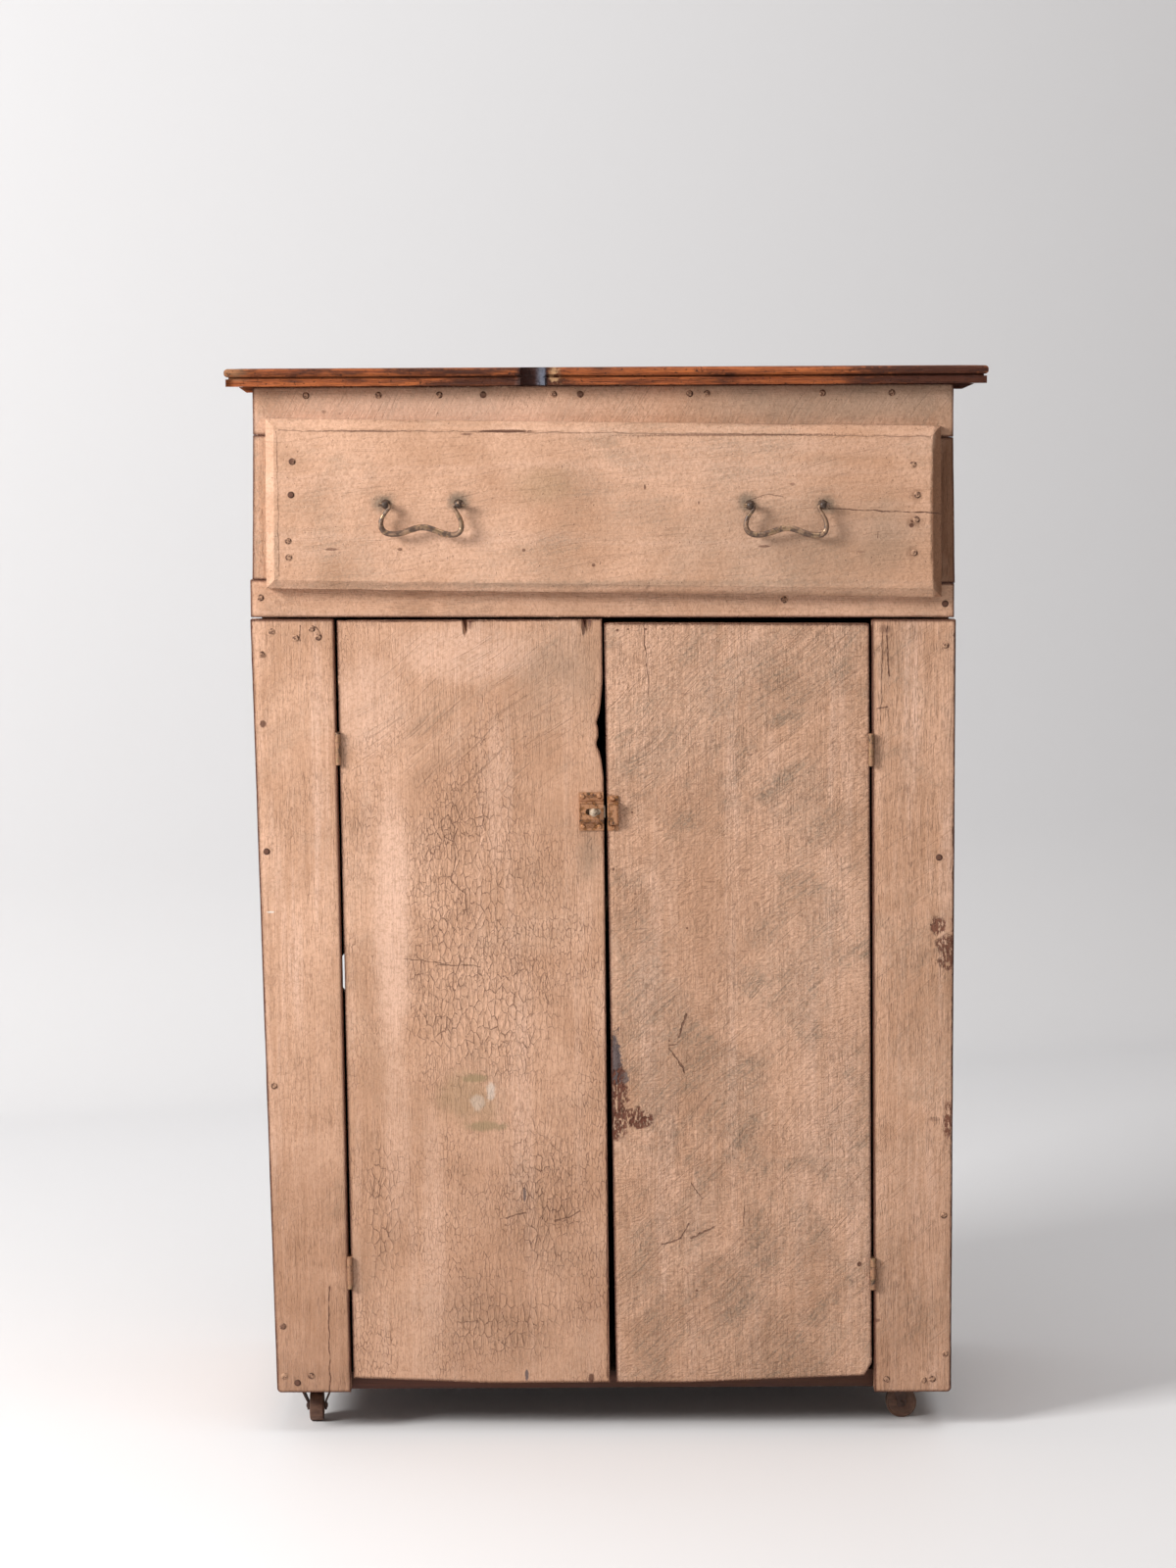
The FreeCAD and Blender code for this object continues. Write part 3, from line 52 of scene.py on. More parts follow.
def addNode(kind, settings=None, **inputs):
    # an input is named as its socket, with _ for a space, or by its number, as in in2
    node = building["tree"].nodes.new("ShaderNode" + kind)
    for name, value in (settings or {}).items():
        setattr(node, name, value)
    for name, value in inputs.items():
        key = int(name[2:]) if name[:2] == "in" and name[2:].isdigit() else name.replace("_", " ")
        plug(node.inputs[key], value)
    return node


def plug(socket, value):
    if isinstance(value, bpy.types.NodeSocket):
        building["tree"].links.new(value, socket)
    elif value is not None:
        socket.default_value = value


def maths(operation, first, second=None, clamp=False):
    node = addNode("Math", {"operation": operation, "use_clamp": clamp}, in0=first, in1=second)
    return node.outputs[0]


def times(first, second, clamp=False):
    return maths("MULTIPLY", first, second, clamp)


def plus(first, second):
    return maths("ADD", first, second)


def minus(first, second):
    return maths("SUBTRACT", first, second)


def widest(masks):
    # several masks as one, or nothing where there is none
    whole = None
    for mask in masks:
        whole = mask if whole is None else maths("MAXIMUM", whole, mask)
    return whole


def vectors(operation, first, second=None, scale=None):
    node = addNode("VectorMath", {"operation": operation}, in0=first, in1=second, in3=scale)
    return node.outputs["Value" if operation in ("LENGTH", "DOT_PRODUCT", "DISTANCE") else "Vector"]


def blendColours(share, under, over):
    return addNode("Mix", {"data_type": "RGBA"}, in0=share, in6=under, in7=over).outputs[2]


def steps(value, low, high, fromZero=0.0, toOne=1.0):
    settings = {"interpolation_type": "SMOOTHSTEP"}
    node = addNode("MapRange", settings, in0=value, in1=low, in2=high, in3=fromZero, in4=toOne)
    return node.outputs[0]


def cloud(place, scale, detail=3.0, roughness=0.55, distortion=0.0):
    node = addNode(
        "TexNoise", Vector=place, Scale=scale, Detail=detail, Roughness=roughness, Distortion=distortion
    )
    return node.outputs["Fac"]


def stretched(place, spread, detail, roughness=0.55):
    # a cloud with its own number of patches per metre along x, y and z
    return cloud(vectors("MULTIPLY", place, spread), 1.0, detail, roughness)


def cloudVector(place, scale, detail=2.0):
    node = addNode("TexNoise", Vector=place, Scale=scale, Detail=detail)
    return vectors("SUBTRACT", node.outputs["Color"], (0.5, 0.5, 0.5))


def hollows(reach):
    # 1 in the open and less in the hollows of the piece itself
    settings = {"samples": 8, "only_local": True}
    return addNode("AmbientOcclusion", settings, Distance=reach).outputs["AO"]


def facing(axis):
    normal = addNode("TexCoord").outputs["Normal"]
    return addNode("SeparateXYZ", Vector=normal).outputs[axis]


def makeGroup(name, inputs, outputs, build):
    # an input that starts from one number is a value, any other is a vector
    tree = building["tree"] = bpy.data.node_groups.new(name, "ShaderNodeTree")
    for label, default in inputs.items():
        kind = "NodeSocketFloat" if isinstance(default, float) else "NodeSocketVector"
        socket = tree.interface.new_socket(label, in_out="INPUT", socket_type=kind)
        if default is not None:
            socket.default_value = default
    for label in outputs:
        tree.interface.new_socket(label, in_out="OUTPUT", socket_type="NodeSocketFloat")
    inside = tree.nodes.new("NodeGroupInput")
    result = tree.nodes.new("NodeGroupOutput")
    for label, socket in build({s.name: s for s in inside.outputs}).items():
        plug(result.inputs[label], socket)
    return tree


def useGroup(group, **inputs):
    return addNode("Group", {"node_tree": group}, **inputs).outputs


def startMaterial(name):
    material = bpy.data.materials.new(name)
    material.use_nodes = True
    building["tree"] = material.node_tree
    return material, addNode("TexCoord").outputs["Object"]


def finishMaterial(material, colour, roughness, height, strength, depth, shine=None, metallic=None):
    # depth of the relief in metres; the shine is the specular level
    inputs = material.node_tree.nodes["Principled BSDF"].inputs
    bump = addNode("Bump", Strength=strength, Distance=depth, Height=height)
    plug(inputs["Base Color"], colour)
    plug(inputs["Roughness"], roughness)
    plug(inputs["Normal"], bump.outputs[0])
    plug(inputs["Specular IOR Level"], shine)
    plug(inputs["Metallic"], metallic)
    return material


def addPiece(name, data):
    piece = bpy.data.objects.new(name, data)
    bpy.context.scene.collection.objects.link(piece)
    return piece


def smoothFaces(mesh):
    for face in mesh.polygons:
        face.use_smooth = True


# effects that several finishes share

def buildCrackle(given):
    # cells per metre across and along the board; the distance to a crack comes out in metres
    axes = addNode("SeparateXYZ", Vector=given["Vector"]).outputs
    across = plus(axes["X"], times(axes["Y"], 0.9))
    flat = addNode("CombineXYZ", X=across, Y=axes["Z"]).outputs[0]
    cells = addNode("CombineXYZ", X=given["Across"], Y=given["Along"]).outputs[0]
    place = vectors("MULTIPLY", flat, cells)
    bend = vectors("SCALE", cloudVector(place, 0.6), scale=given["Waver"])
    jitter = vectors("SCALE", cloudVector(place, 3.4, 3.0), scale=given["Rough"])
    place = vectors("ADD", vectors("ADD", place, bend), jitter)
    near, second = [
        addNode(
            "TexVoronoi", {"feature": feature, "voronoi_dimensions": "2D"},
            Vector=place, Scale=1.0, Randomness=0.9,
        ).outputs["Position"]
        for feature in ("F1", "F2")
    ]
    middle = vectors("SCALE", vectors("ADD", near, second), scale=0.5)
    across = vectors("SUBTRACT", second, near)
    away = vectors("DOT_PRODUCT", vectors("SUBTRACT", place, middle), across)
    away = maths("ABSOLUTE", away)
    slope = vectors("LENGTH", vectors("MULTIPLY", across, cells))
    gap = maths("DIVIDE", away, slope)
    broken = cloud(place, 0.45, 3.0, 0.6)
    width = times(given["Width"], steps(broken, 0.36, 0.66, 0.12, 1.35))
    ratio = maths("DIVIDE", gap, width)
    kept = steps(cloud(place, 1.3, 2.0), 0.38, 0.5, 0.15, 1.0)
    return {
        "Lines": times(steps(ratio, 0.5, 1.3, 1.0, 0.0), kept),
        "Curl": steps(gap, 0.0, 0.0032, 1.0, 0.0),
    }


paintCrackle = makeGroup(
    "paintCrackle",
    {"Vector": None, "Across": 110.0, "Along": 58.0, "Width": 0.0004, "Waver": 0.9, "Rough": 0.16},
    ("Lines", "Curl"), buildCrackle,
)


def buildGrain(given):
    # pores and growth rings, drawn out along the board
    place = vectors("MULTIPLY", given["Vector"], given["Spread"])
    bend = vectors("SCALE", cloudVector(given["Vector"], 5.0, 3.0), scale=given["Waver"])
    place = vectors("ADD", place, bend)
    rings = cloud(place, 1.0, 5.0, 0.62, 0.4)
    pores = stretched(place, (4.0, 4.0, 4.0), 2.0, 0.6)
    return {"Rings": steps(rings, 0.3, 0.7), "Pores": steps(pores, 0.56, 0.74)}


woodGrain = makeGroup(
    "woodGrain", {"Vector": None, "Spread": (60.0, 60.0, 3.0), "Waver": 1.0}, ("Rings", "Pores"), buildGrain
)


def buildBrushing(given):
    # ridges that a stiff brush leaves in thick paint, in short overlapping strokes
    wave = vectors("SCALE", cloudVector(given["Vector"], 3.2, 2.0), scale=0.1)
    place = vectors("ADD", given["Vector"], wave)
    turned = addNode(
        "VectorRotate", {"rotation_type": "Y_AXIS"}, Vector=place, Angle=given["Angle"]
    ).outputs[0]
    ridges = stretched(turned, (22.0, 60.0, 420.0), 4.0, 0.6)
    broad = stretched(turned, (5.0, 30.0, 60.0), 3.0)
    both = plus(times(ridges, 0.6), times(broad, 0.4))
    thin = stretched(turned, (11.0, 60.0, 640.0), 2.0, 0.5)
    return {
        "Ridges": both,
        "Furrows": steps(both, 0.52, 0.4),
        "Hairs": steps(thin, 0.61, 0.7),
    }


brushing = makeGroup(
    "brushing", {"Vector": None, "Angle": 0.6}, ("Ridges", "Furrows", "Hairs"), buildBrushing
)


def buildDirt(given):
    # patches with speckled edges
    large = cloud(given["Vector"], given["Scale"], 6.0, 0.62, 0.6)
    limit = minus(1.0, given["Coverage"])
    patch = steps(large, minus(limit, 0.09), plus(limit, 0.09))
    speckle = cloud(given["Vector"], 420.0, 2.0, 0.7)
    return {"Mask": times(patch, steps(speckle, 0.34, 0.62, 0.35, 1.0))}


dirtPatches = makeGroup(
    "dirtPatches", {"Vector": None, "Scale": 9.0, "Coverage": 0.45}, ("Mask",), buildDirt
)


def buildEdgeWear(given):
    # the rounded normal leaves the main directions of the board only close to an arris
    soft = addNode("Bevel", {"samples": 6}, Radius=given["Reach"]).outputs[0]
    turnBack = {"vector_type": "NORMAL", "convert_from": "WORLD", "convert_to": "OBJECT"}
    soft = addNode("VectorTransform", turnBack, Vector=soft).outputs[0]
    axes = addNode("SeparateXYZ", Vector=vectors("ABSOLUTE", soft)).outputs
    most = maths("MAXIMUM", axes["X"], maths("MAXIMUM", axes["Y"], axes["Z"]))
    turn = minus(1.0, most)
    coarse = cloud(given["Vector"], 21.0, 3.0, 0.6)
    fine = cloud(given["Vector"], 230.0, 3.0, 0.65)
    rag = plus(times(coarse, 0.55), times(fine, 0.45))
    limit = minus(1.0, given["Coverage"])
    patchy = steps(rag, minus(limit, 0.05), plus(limit, 0.05))
    return {"Mask": times(steps(turn, given["From"], given["To"]), patchy)}


edgeWear = makeGroup(
    "edgeWear", {"Vector": None, "Reach": 0.0015, "Coverage": 0.45, "From": 0.02, "To": 0.14},
    ("Mask",), buildEdgeWear,
)


def buildSpot(given):
    # a soft or ragged oval on the face, seen from the front
    away = vectors("SUBTRACT", given["Vector"], given["Centre"])
    away = vectors("MULTIPLY", away, (1.0, 0.0, 1.0))
    away = vectors("DIVIDE", away, given["Reach"])
    rag = minus(cloud(given["Vector"], given["Fineness"], 4.0, 0.65), 0.5)
    far = plus(vectors("LENGTH", away), times(rag, given["Ragged"]))
    return {"Mask": steps(far, minus(1.0, given["Feather"]), 1.0, 1.0, 0.0)}


spot = makeGroup(
    "spot",
    {"Vector": None, "Centre": None, "Reach": (0.01, 1.0, 0.01), "Feather": 0.3, "Ragged": 0.5,
     "Fineness": 120.0},
    ("Mask",), buildSpot,
)


def buildSplit(given):
    # a fine crack or scratch between two points of the face
    bend = vectors("SCALE", cloudVector(given["Vector"], 70.0, 6.0), scale=given["Waver"])
    place = vectors("ADD", given["Vector"], bend)
    place = vectors("MULTIPLY", place, (1.0, 0.0, 1.0))
    along = vectors("SUBTRACT", given["To"], given["From"])
    away = vectors("SUBTRACT", place, given["From"])
    share = maths(
        "DIVIDE", vectors("DOT_PRODUCT", away, along),
        vectors("DOT_PRODUCT", along, along), clamp=True,
    )
    gap = vectors("DISTANCE", away, vectors("SCALE", along, scale=share))
    thin = cloud(given["Vector"], 160.0, 2.0)
    width = times(given["Width"], steps(thin, 0.3, 0.65, 0.3, 1.2))
    return {"Mask": steps(maths("DIVIDE", gap, width), 0.55, 1.2, 1.0, 0.0)}


split = makeGroup(
    "split", {"Vector": None, "From": None, "To": None, "Width": 0.0007, "Waver": 0.004},
    ("Mask",), buildSplit,
)
print("shared effects ready")


# paint

paintTones = {
    # cleaner, paler paint; also painted light on the head rail
    "freshAndLit": (0.8, 0.528, 0.4, 1.0),
    "light": (0.702, 0.426, 0.29, 1.0),
    "dark": (0.54, 0.306, 0.192, 1.0),
    # dark grime; also laid as painted shade on faces that lie in shadow
    "grimeAndShade": (0.19, 0.084, 0.042, 1.0),
    # dirt; also lays painted shade on the right of the head rail
    "dirt": (0.235, 0.18, 0.13, 1.0),
    "shade": (0.38, 0.198, 0.112, 1.0),
    "undercoat": (0.075, 0.022, 0.012, 1.0),
    "chip": (0.15, 0.05, 0.029, 1.0),
    "crack": (0.14, 0.062, 0.038, 1.0),
    "stain": (0.3, 0.215, 0.115, 1.0),
    "olive": (0.155, 0.13, 0.095, 1.0),
    "soot": (0.06, 0.055, 0.07, 1.0),
    "white": (0.78, 0.74, 0.68, 1.0),
}

# what every painted piece starts from; a piece's own dictionary changes some of it
# an oval is x, z, half width, half height
paintBasics = {
    "seed": 0.0,
    "ticks": (880.0, 400.0, 74.0),  # pores of the wood under the paint, per metre along x, y and z
    "tickShow": 0.6,
    "streaks": (210.0, 210.0, 12.0),  # narrow dark and light streaks along the grain
    "streakShow": 0.45,
    "bands": (34.0, 34.0, 2.2),  # broad ones
    "bandShow": 0.35,
    "crackle": 0.0,  # how dark the coarse cells are drawn, 0 to 1
    "crackleCells": (112.0, 60.0),  # per metre across and along
    "crackleWidth": 0.00042,
    "crackleWhere": [],  # ovals where the coarse cells are
    "fineCrackle": 0.3,
    "fineCells": (235.0, 112.0),
    "fineWidth": 0.0003,
    "brush": 0.25,
    "brushAngle": 38.0,
    "brushWhere": [],  # ovals where the strokes stay plain
    "wrinkles": 0.0,  # shallow sideways ridges
    "lumps": 0.3,  # how thick and lumpy the paint lies
    "relief": 1.0,
    "depth": 0.0011,  # metres of relief where relief is 1
    "footDarkening": 0.3,  # how far the piece darkens towards the floor
    "dirt": 0.5,
    "dirtScale": 10.0,
    "dirtCoverage": 0.45,
    "wear": 0.62,
    "wearReach": 0.005,
    "wearFrom": 0.02,
    "wearTo": 0.1,
    "uncracked": [],  # ovals where the fine cracks fade, each with its share
    "bareSide": (0.0, 1.0, 0.0),  # the way the unpainted inner face looks
    "barePale": (0.35, 0.212, 0.122, 1.0),
    "bareDeep": (0.225, 0.122, 0.066, 1.0),
    "smooth": [],  # ovals with a clean, whole skin of paint, each with its share
    "spots": [],  # an oval, tone, strength, feather, ragged
    "splits": [],  # width, strength, then x, z of every point along the crack
    "splitWaver": 0.005,
    "roughness": 0.48,
    "shine": 0.22,
    "edges": {  # feather, ragged and fineness of each kind of oval
        "smooth": (0.6, 0.7, 18.0),
        "uncracked": (0.8, 0.8, 15.0),
        "brushWhere": (0.8, 0.8, 9.0),
        "crackleWhere": (0.8, 1.1, 14.0),
    },
}
sideways = {"ticks": (74.0, 400.0, 880.0), "streaks": (12.0, 210.0, 210.0), "bands": (2.2, 34.0, 34.0)}


def oval(place, x, z, halfWidth, halfHeight, feather, ragged, fineness):
    return useGroup(
        spot, Vector=place, Centre=(x, 0, z), Reach=(halfWidth, 1, halfHeight),
        Feather=feather, Ragged=ragged, Fineness=fineness,
    )["Mask"]


def makePaint(name, **changes):
    look = {**paintBasics, **changes}
    material, place = startMaterial(name)
    seed = look["seed"]
    shifted = vectors("ADD", place, (seed * 3.1, seed * 1.7, seed * 2.3))

    def ovals(kind):
        for x, z, halfWidth, halfHeight, *share in look[kind]:
            mask = oval(place, x, z, halfWidth, halfHeight, *look["edges"][kind])
            yield times(mask, share[0]) if share else mask

    def cracks(cells, width, waver, rough):
        return useGroup(
            paintCrackle, Vector=shifted, Across=cells[0], Along=cells[1], Width=width,
            Waver=waver, Rough=rough,
        )

    def lay(share, toneName):
        nonlocal colour
        colour = blendColours(share, colour, paintTones[toneName])

    def lift(mask, amount):
        nonlocal height
        height = plus(height, times(mask, amount))

    def sink(mask, amount):
        nonlocal height
        height = minus(height, times(mask, amount))

    # where the skin of paint is clean and unbroken, and where it isn't
    whole = widest(ovals("smooth"))
    aged = 1.0 if whole is None else minus(1.0, whole)
    cracked = aged
    for mask in ovals("uncracked"):
        cracked = times(cracked, minus(1.0, mask))

    # tones of the paint, broad bands and narrow streaks
    tone = cloud(shifted, 7.0, 4.0, 0.6, 0.5)
    colour = blendColours(steps(tone, 0.32, 0.68), paintTones["dark"], paintTones["light"])
    bands = stretched(shifted, look["bands"], 3.0, 0.6)
    lay(times(steps(bands, 0.5, 0.68), look["bandShow"]), "freshAndLit")
    if whole is not None:
        lay(times(whole, 0.8), "freshAndLit")
    streaks = stretched(shifted, look["streaks"], 4.0, 0.65)
    darker = times(steps(streaks, 0.5, 0.34), look["streakShow"])
    lay(times(darker, aged), "shade")
    lighter = times(steps(streaks, 0.52, 0.68), look["streakShow"])
    lay(times(lighter, 0.6), "freshAndLit")

    # brush strokes, dirt that settles in them, and darkening towards the floor
    brushed = useGroup(brushing, Vector=shifted, Angle=math.radians(look["brushAngle"]))
    stroke = look["brush"]
    for mask in ovals("brushWhere"):
        stroke = times(plus(mask, 0.15), look["brush"])
    furrows = times(brushed["Furrows"], stroke)
    hairs = times(brushed["Hairs"], stroke)
    dirt = useGroup(
        dirtPatches, Vector=shifted, Scale=look["dirtScale"], Coverage=look["dirtCoverage"]
    )["Mask"]
    streaky = plus(0.5, times(furrows, 2.0))
    dirt = times(times(dirt, streaky), aged)
    lay(times(dirt, look["dirt"], clamp=True), "dirt")
    lay(times(furrows, 0.35), "dirt")
    lay(times(hairs, 0.6, clamp=True), "grimeAndShade")
    low = addNode("SeparateXYZ", Vector=place).outputs["Z"]
    low = times(steps(low, 0.5, 0.04), look["footDarkening"])
    lay(times(low, steps(cloud(shifted, 9.0, 5.0, 0.62), 0.3, 0.6, 0.5, 1.0)), "grimeAndShade")
    mottle = cloud(shifted, 300.0, 3.0, 0.7)
    lay(times(steps(mottle, 0.56, 0.34), 0.4), "shade")

    # pores of the wood and fine cracks
    pores = stretched(shifted, look["ticks"], 2.0, 0.5)
    tickShare = steps(cloud(shifted, 16.0, 3.0), 0.38, 0.64, 0.25, 1.0)
    pores = times(steps(pores, 0.54, 0.68), tickShare)
    pores = times(times(pores, look["tickShow"]), aged)
    lay(times(pores, 0.6), "crack")
    fine = cracks(look["fineCells"], look["fineWidth"], 1.0, 0.2)
    fineShare = steps(cloud(shifted, 13.0, 3.0), 0.36, 0.62, 0.15, 1.0)
    fineLines = times(times(fine["Lines"], fineShare), cracked)
    fineLines = times(fineLines, look["fineCrackle"])
    lay(fineLines, "crack")

    height = times(times(brushed["Ridges"], stroke), 2.0)
    sink(hairs, 0.8)
    lift(bands, 0.3)
    lift(streaks, 0.8)
    sink(fineLines, 0.6)
    sink(pores, 0.7)
    if look["wrinkles"]:
        folds = vectors("MULTIPLY", shifted, (130.0, 130.0, 360.0))
        folds = vectors("ADD", folds, vectors("SCALE", cloudVector(shifted, 24.0), scale=9.0))
        folds = cloud(folds, 1.0, 3.0, 0.6)
        lift(folds, look["wrinkles"])
        lay(times(steps(folds, 0.42, 0.3), look["wrinkles"] * 0.22), "crack")

    if look["crackle"]:
        where = widest(ovals("crackleWhere"))
        coarse = cracks(look["crackleCells"], look["crackleWidth"], 0.9, 0.16)
        share = aged if where is None else times(where, aged)
        lines = times(coarse["Lines"], share)
        lay(times(lines, look["crackle"]), "crack")
        height = minus(height, lines)
        lift(times(coarse["Curl"], share), 0.35)

    for x, z, halfWidth, halfHeight, toneName, strength, feather, ragged in look["spots"]:
        fineness = 0.9 / min(halfWidth, halfHeight)
        mask = oval(place, x, z, halfWidth, halfHeight, feather, ragged, fineness)
        if toneName == "chip":
            flakes = stretched(shifted, (330.0, 330.0, 130.0), 4.0, 0.65)
            mask = times(mask, steps(flakes, 0.45, 0.5))
        mask = times(mask, strength)
        lay(mask, toneName)
        if feather < 0.4:
            sink(mask, 0.9)

    for width, strength, *points in look["splits"]:
        for x1, z1, x2, z2 in zip(points[0::2], points[1::2], points[2::2], points[3::2]):
            mask = useGroup(
                split, Vector=place, From=(x1, 0, z1), To=(x2, 0, z2), Width=width,
                Waver=look["splitWaver"],
            )["Mask"]
            mask = times(mask, strength)
            lay(mask, "crack")
            sink(mask, 1.4)

    wear = useGroup(
        edgeWear, Vector=shifted, Reach=look["wearReach"], Coverage=look["wear"],
        From=look["wearFrom"], To=look["wearTo"],
    )["Mask"]
    lay(wear, "undercoat")
    sink(wear, 0.5)
    lumps = plus(cloud(shifted, 260.0, 3.0, 0.6), cloud(shifted, 75.0, 3.0, 0.6))
    pimples = steps(cloud(shifted, 330.0, 1.0, 0.5), 0.7, 0.8)
    lift(plus(lumps, pimples), look["lumps"])

    # bare wood on the inner face
    normal = addNode("TexCoord").outputs["Normal"]
    inward = vectors("DOT_PRODUCT", normal, look["bareSide"])
    bare = steps(plus(inward, times(cloud(shifted, 60.0, 3.0), 0.4)), 0.8, 0.95)
    spread = [value * (2.6 if value > 10 else 1.1) for value in look["bands"]]
    grain = useGroup(woodGrain, Vector=shifted, Spread=spread, Waver=0.7)
    wood = blendColours(grain["Rings"], look["bareDeep"], look["barePale"])
    wood = blendColours(times(grain["Pores"], 0.5), wood, look["bareDeep"])
    colour = blendColours(bare, colour, wood)
    height = addNode("Mix", {"data_type": "FLOAT"}, in0=bare, in2=height, in3=grain["Rings"]).outputs[0]
    roughness = plus(look["roughness"], times(dirt, 0.25))
    depth = look["depth"] * look["relief"]
    return finishMaterial(material, colour, roughness, height, 1.0, depth, look["shine"])


# a board whose arrises are softened and whose faces are no longer quite flat
boardAge = {
    "weld": 1e-5,
    "flat": 1.0,  # degrees: faces that lie closer than this become one
    "arris": 20.0,
    "smooth": 38.0,
    "dips": (21.0, 90.0),  # shallow and small ones, per metre
    "smallDips": 0.35,
    "deepest": 1.3,
}


def ageBoard(name, body, material, soften=0.0011, wander=0.0004, spacing=0.014):
    source = nodes[name]
    mesh = bmesh.new()
    mesh.from_mesh(source.data)
    bmesh.ops.remove_doubles(mesh, verts=mesh.verts, dist=boardAge["weld"])
    bmesh.ops.dissolve_limit(
        mesh, angle_limit=math.radians(boardAge["flat"]), verts=mesh.verts, edges=mesh.edges
    )
    least = math.radians(boardAge["arris"])
    sharp = [e for e in mesh.edges if e.is_manifold and e.calc_face_angle(0) > least]
    bmesh.ops.bevel(
        mesh, geom=sharp, offset=soften, offset_type="OFFSET", segments=2, profile=0.6,
        affect="EDGES", clamp_overlap=True,
    )
    low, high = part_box(name)
    for axis in range(3):
        count = max(int((high[axis] - low[axis]) / spacing), 1)
        for index in range(1, count):
            point, normal = Vector((0, 0, 0)), Vector((0, 0, 0))
            point[axis] = low[axis] + (high[axis] - low[axis]) * index / count
            normal[axis] = 1
            geometry = mesh.verts[:] + mesh.edges[:] + mesh.faces[:]
            bmesh.ops.bisect_plane(mesh, geom=geometry, plane_co=point, plane_no=normal)
    mesh.normal_update()
    broad, small = boardAge["dips"]
    for vert in mesh.verts:
        dip = 0.5 + 0.5 * noise.noise(vert.co * broad)
        dip += boardAge["smallDips"] * noise.noise(vert.co * small)
        vert.co -= vert.normal * wander * min(max(dip, 0.0), boardAge["deepest"])
    data = bpy.data.meshes.new(name + "_aged")
    mesh.to_mesh(data)
    mesh.free()
    smoothFaces(data)
    data.set_sharp_from_angle(angle=math.radians(boardAge["smooth"]))
    piece = addPiece(name + "_aged", data)
    data.materials.append(material)
    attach(piece, body)
    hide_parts(name)
    return piece


leftDoor = {
    "seed": 1.0,
    "streakShow": 0.16,
    "crackle": 0.66,
    "crackleCells": (150.0, 66.0),
    "crackleWhere": [
        (-0.145, 0.64, 0.09, 0.135), (-0.13, 0.47, 0.11, 0.13), (-0.07, 0.26, 0.07, 0.12),
        (-0.24, 0.25, 0.03, 0.12), (-0.11, 0.12, 0.1, 0.06), (-0.16, 0.5, 0.11, 0.2),
    ],
    "fineCrackle": 0.7,
    "fineCells": (270.0, 108.0),
    "tickShow": 0.42,
    "brush": 0.42,
    "brushWhere": [(-0.14, 0.78, 0.17, 0.15)],
    "uncracked": [(-0.145, 0.87, 0.22, 0.12, 0.95), (-0.03, 0.72, 0.05, 0.15, 0.6)],
    "dirt": 0.42,
    "dirtCoverage": 0.44,
    "smooth": [
        (-0.23, 0.56, 0.028, 0.2, 0.8), (-0.228, 0.33, 0.02, 0.15, 0.42), (-0.19, 0.21, 0.018, 0.17, 0.42),
        (-0.25, 0.79, 0.05, 0.07, 0.5), (-0.15, 0.845, 0.1, 0.04, 0.55), (-0.12, 0.7, 0.012, 0.12, 0.45),
    ],
    "spots": [
        # dark inside the two nicks of the top edge: painted shadow of the nicks, with grime
        (-0.1503, 0.877, 0.0032, 0.015, "grimeAndShade", 0.9, 0.35, 0.5),
        (-0.023, 0.878, 0.0085, 0.014, "grimeAndShade", 0.62, 0.45, 0.7),
        (-0.025, 0.876, 0.0022, 0.015, "undercoat", 0.8, 0.35, 0.6),
        (-0.07, 0.79, 0.06, 0.07, "olive", 0.16, 0.9, 1.4),
        (-0.045, 0.83, 0.075, 0.06, "olive", 0.26, 0.9, 1.5),
        (-0.02, 0.63, 0.018, 0.04, "dirt", 0.35, 0.9, 0.9),
        (-0.152, 0.364, 0.046, 0.04, "stain", 0.38, 0.7, 1.3),
        (-0.143, 0.389, 0.019, 0.006, "stain", 0.75, 0.6, 1.2),
        (-0.132, 0.337, 0.03, 0.007, "stain", 0.7, 0.6, 1.2),
        (-0.127, 0.374, 0.006, 0.014, "white", 0.38, 0.6, 1.4),
        (-0.141, 0.362, 0.01, 0.012, "white", 0.22, 0.6, 1.4),
        (-0.0915, 0.262, 0.0022, 0.01, "soot", 0.7, 0.5, 0.9),
        (-0.0905, 0.064, 0.0025, 0.008, "soot", 0.8, 0.5, 0.9),
        (-0.021, 0.06, 0.004, 0.006, "undercoat", 0.8, 0.4, 0.9),
    ],
    "splits": [
        (0.0006, 0.55, -0.1774, 0.6666, -0.1698, 0.6736, -0.1628, 0.6596, -0.165, 0.6444, -0.1742, 0.6498,
         -0.1774, 0.6666),
        (0.0006, 0.55, -0.165, 0.6444, -0.1617, 0.6249, -0.1682, 0.6033, -0.1509, 0.5881, -0.1493, 0.5664),
        (0.001, 0.6, -0.24, 0.8795, -0.05, 0.88),
        (0.0009, 0.6, -0.002, 0.84, -0.003, 0.06),
        (0.0005, 0.6, -0.2187, 0.5194, -0.17, 0.513),
        (0.0006, 0.7, -0.1811, 0.5128, -0.1372, 0.5105),
        (0.0009, 0.7, -0.0595, 0.233, -0.045, 0.2365),
        (0.0008, 0.7, -0.045, 0.2365, -0.032, 0.2436),
        (0.0009, 0.7, -0.112, 0.237, -0.09, 0.242),
    ],
}

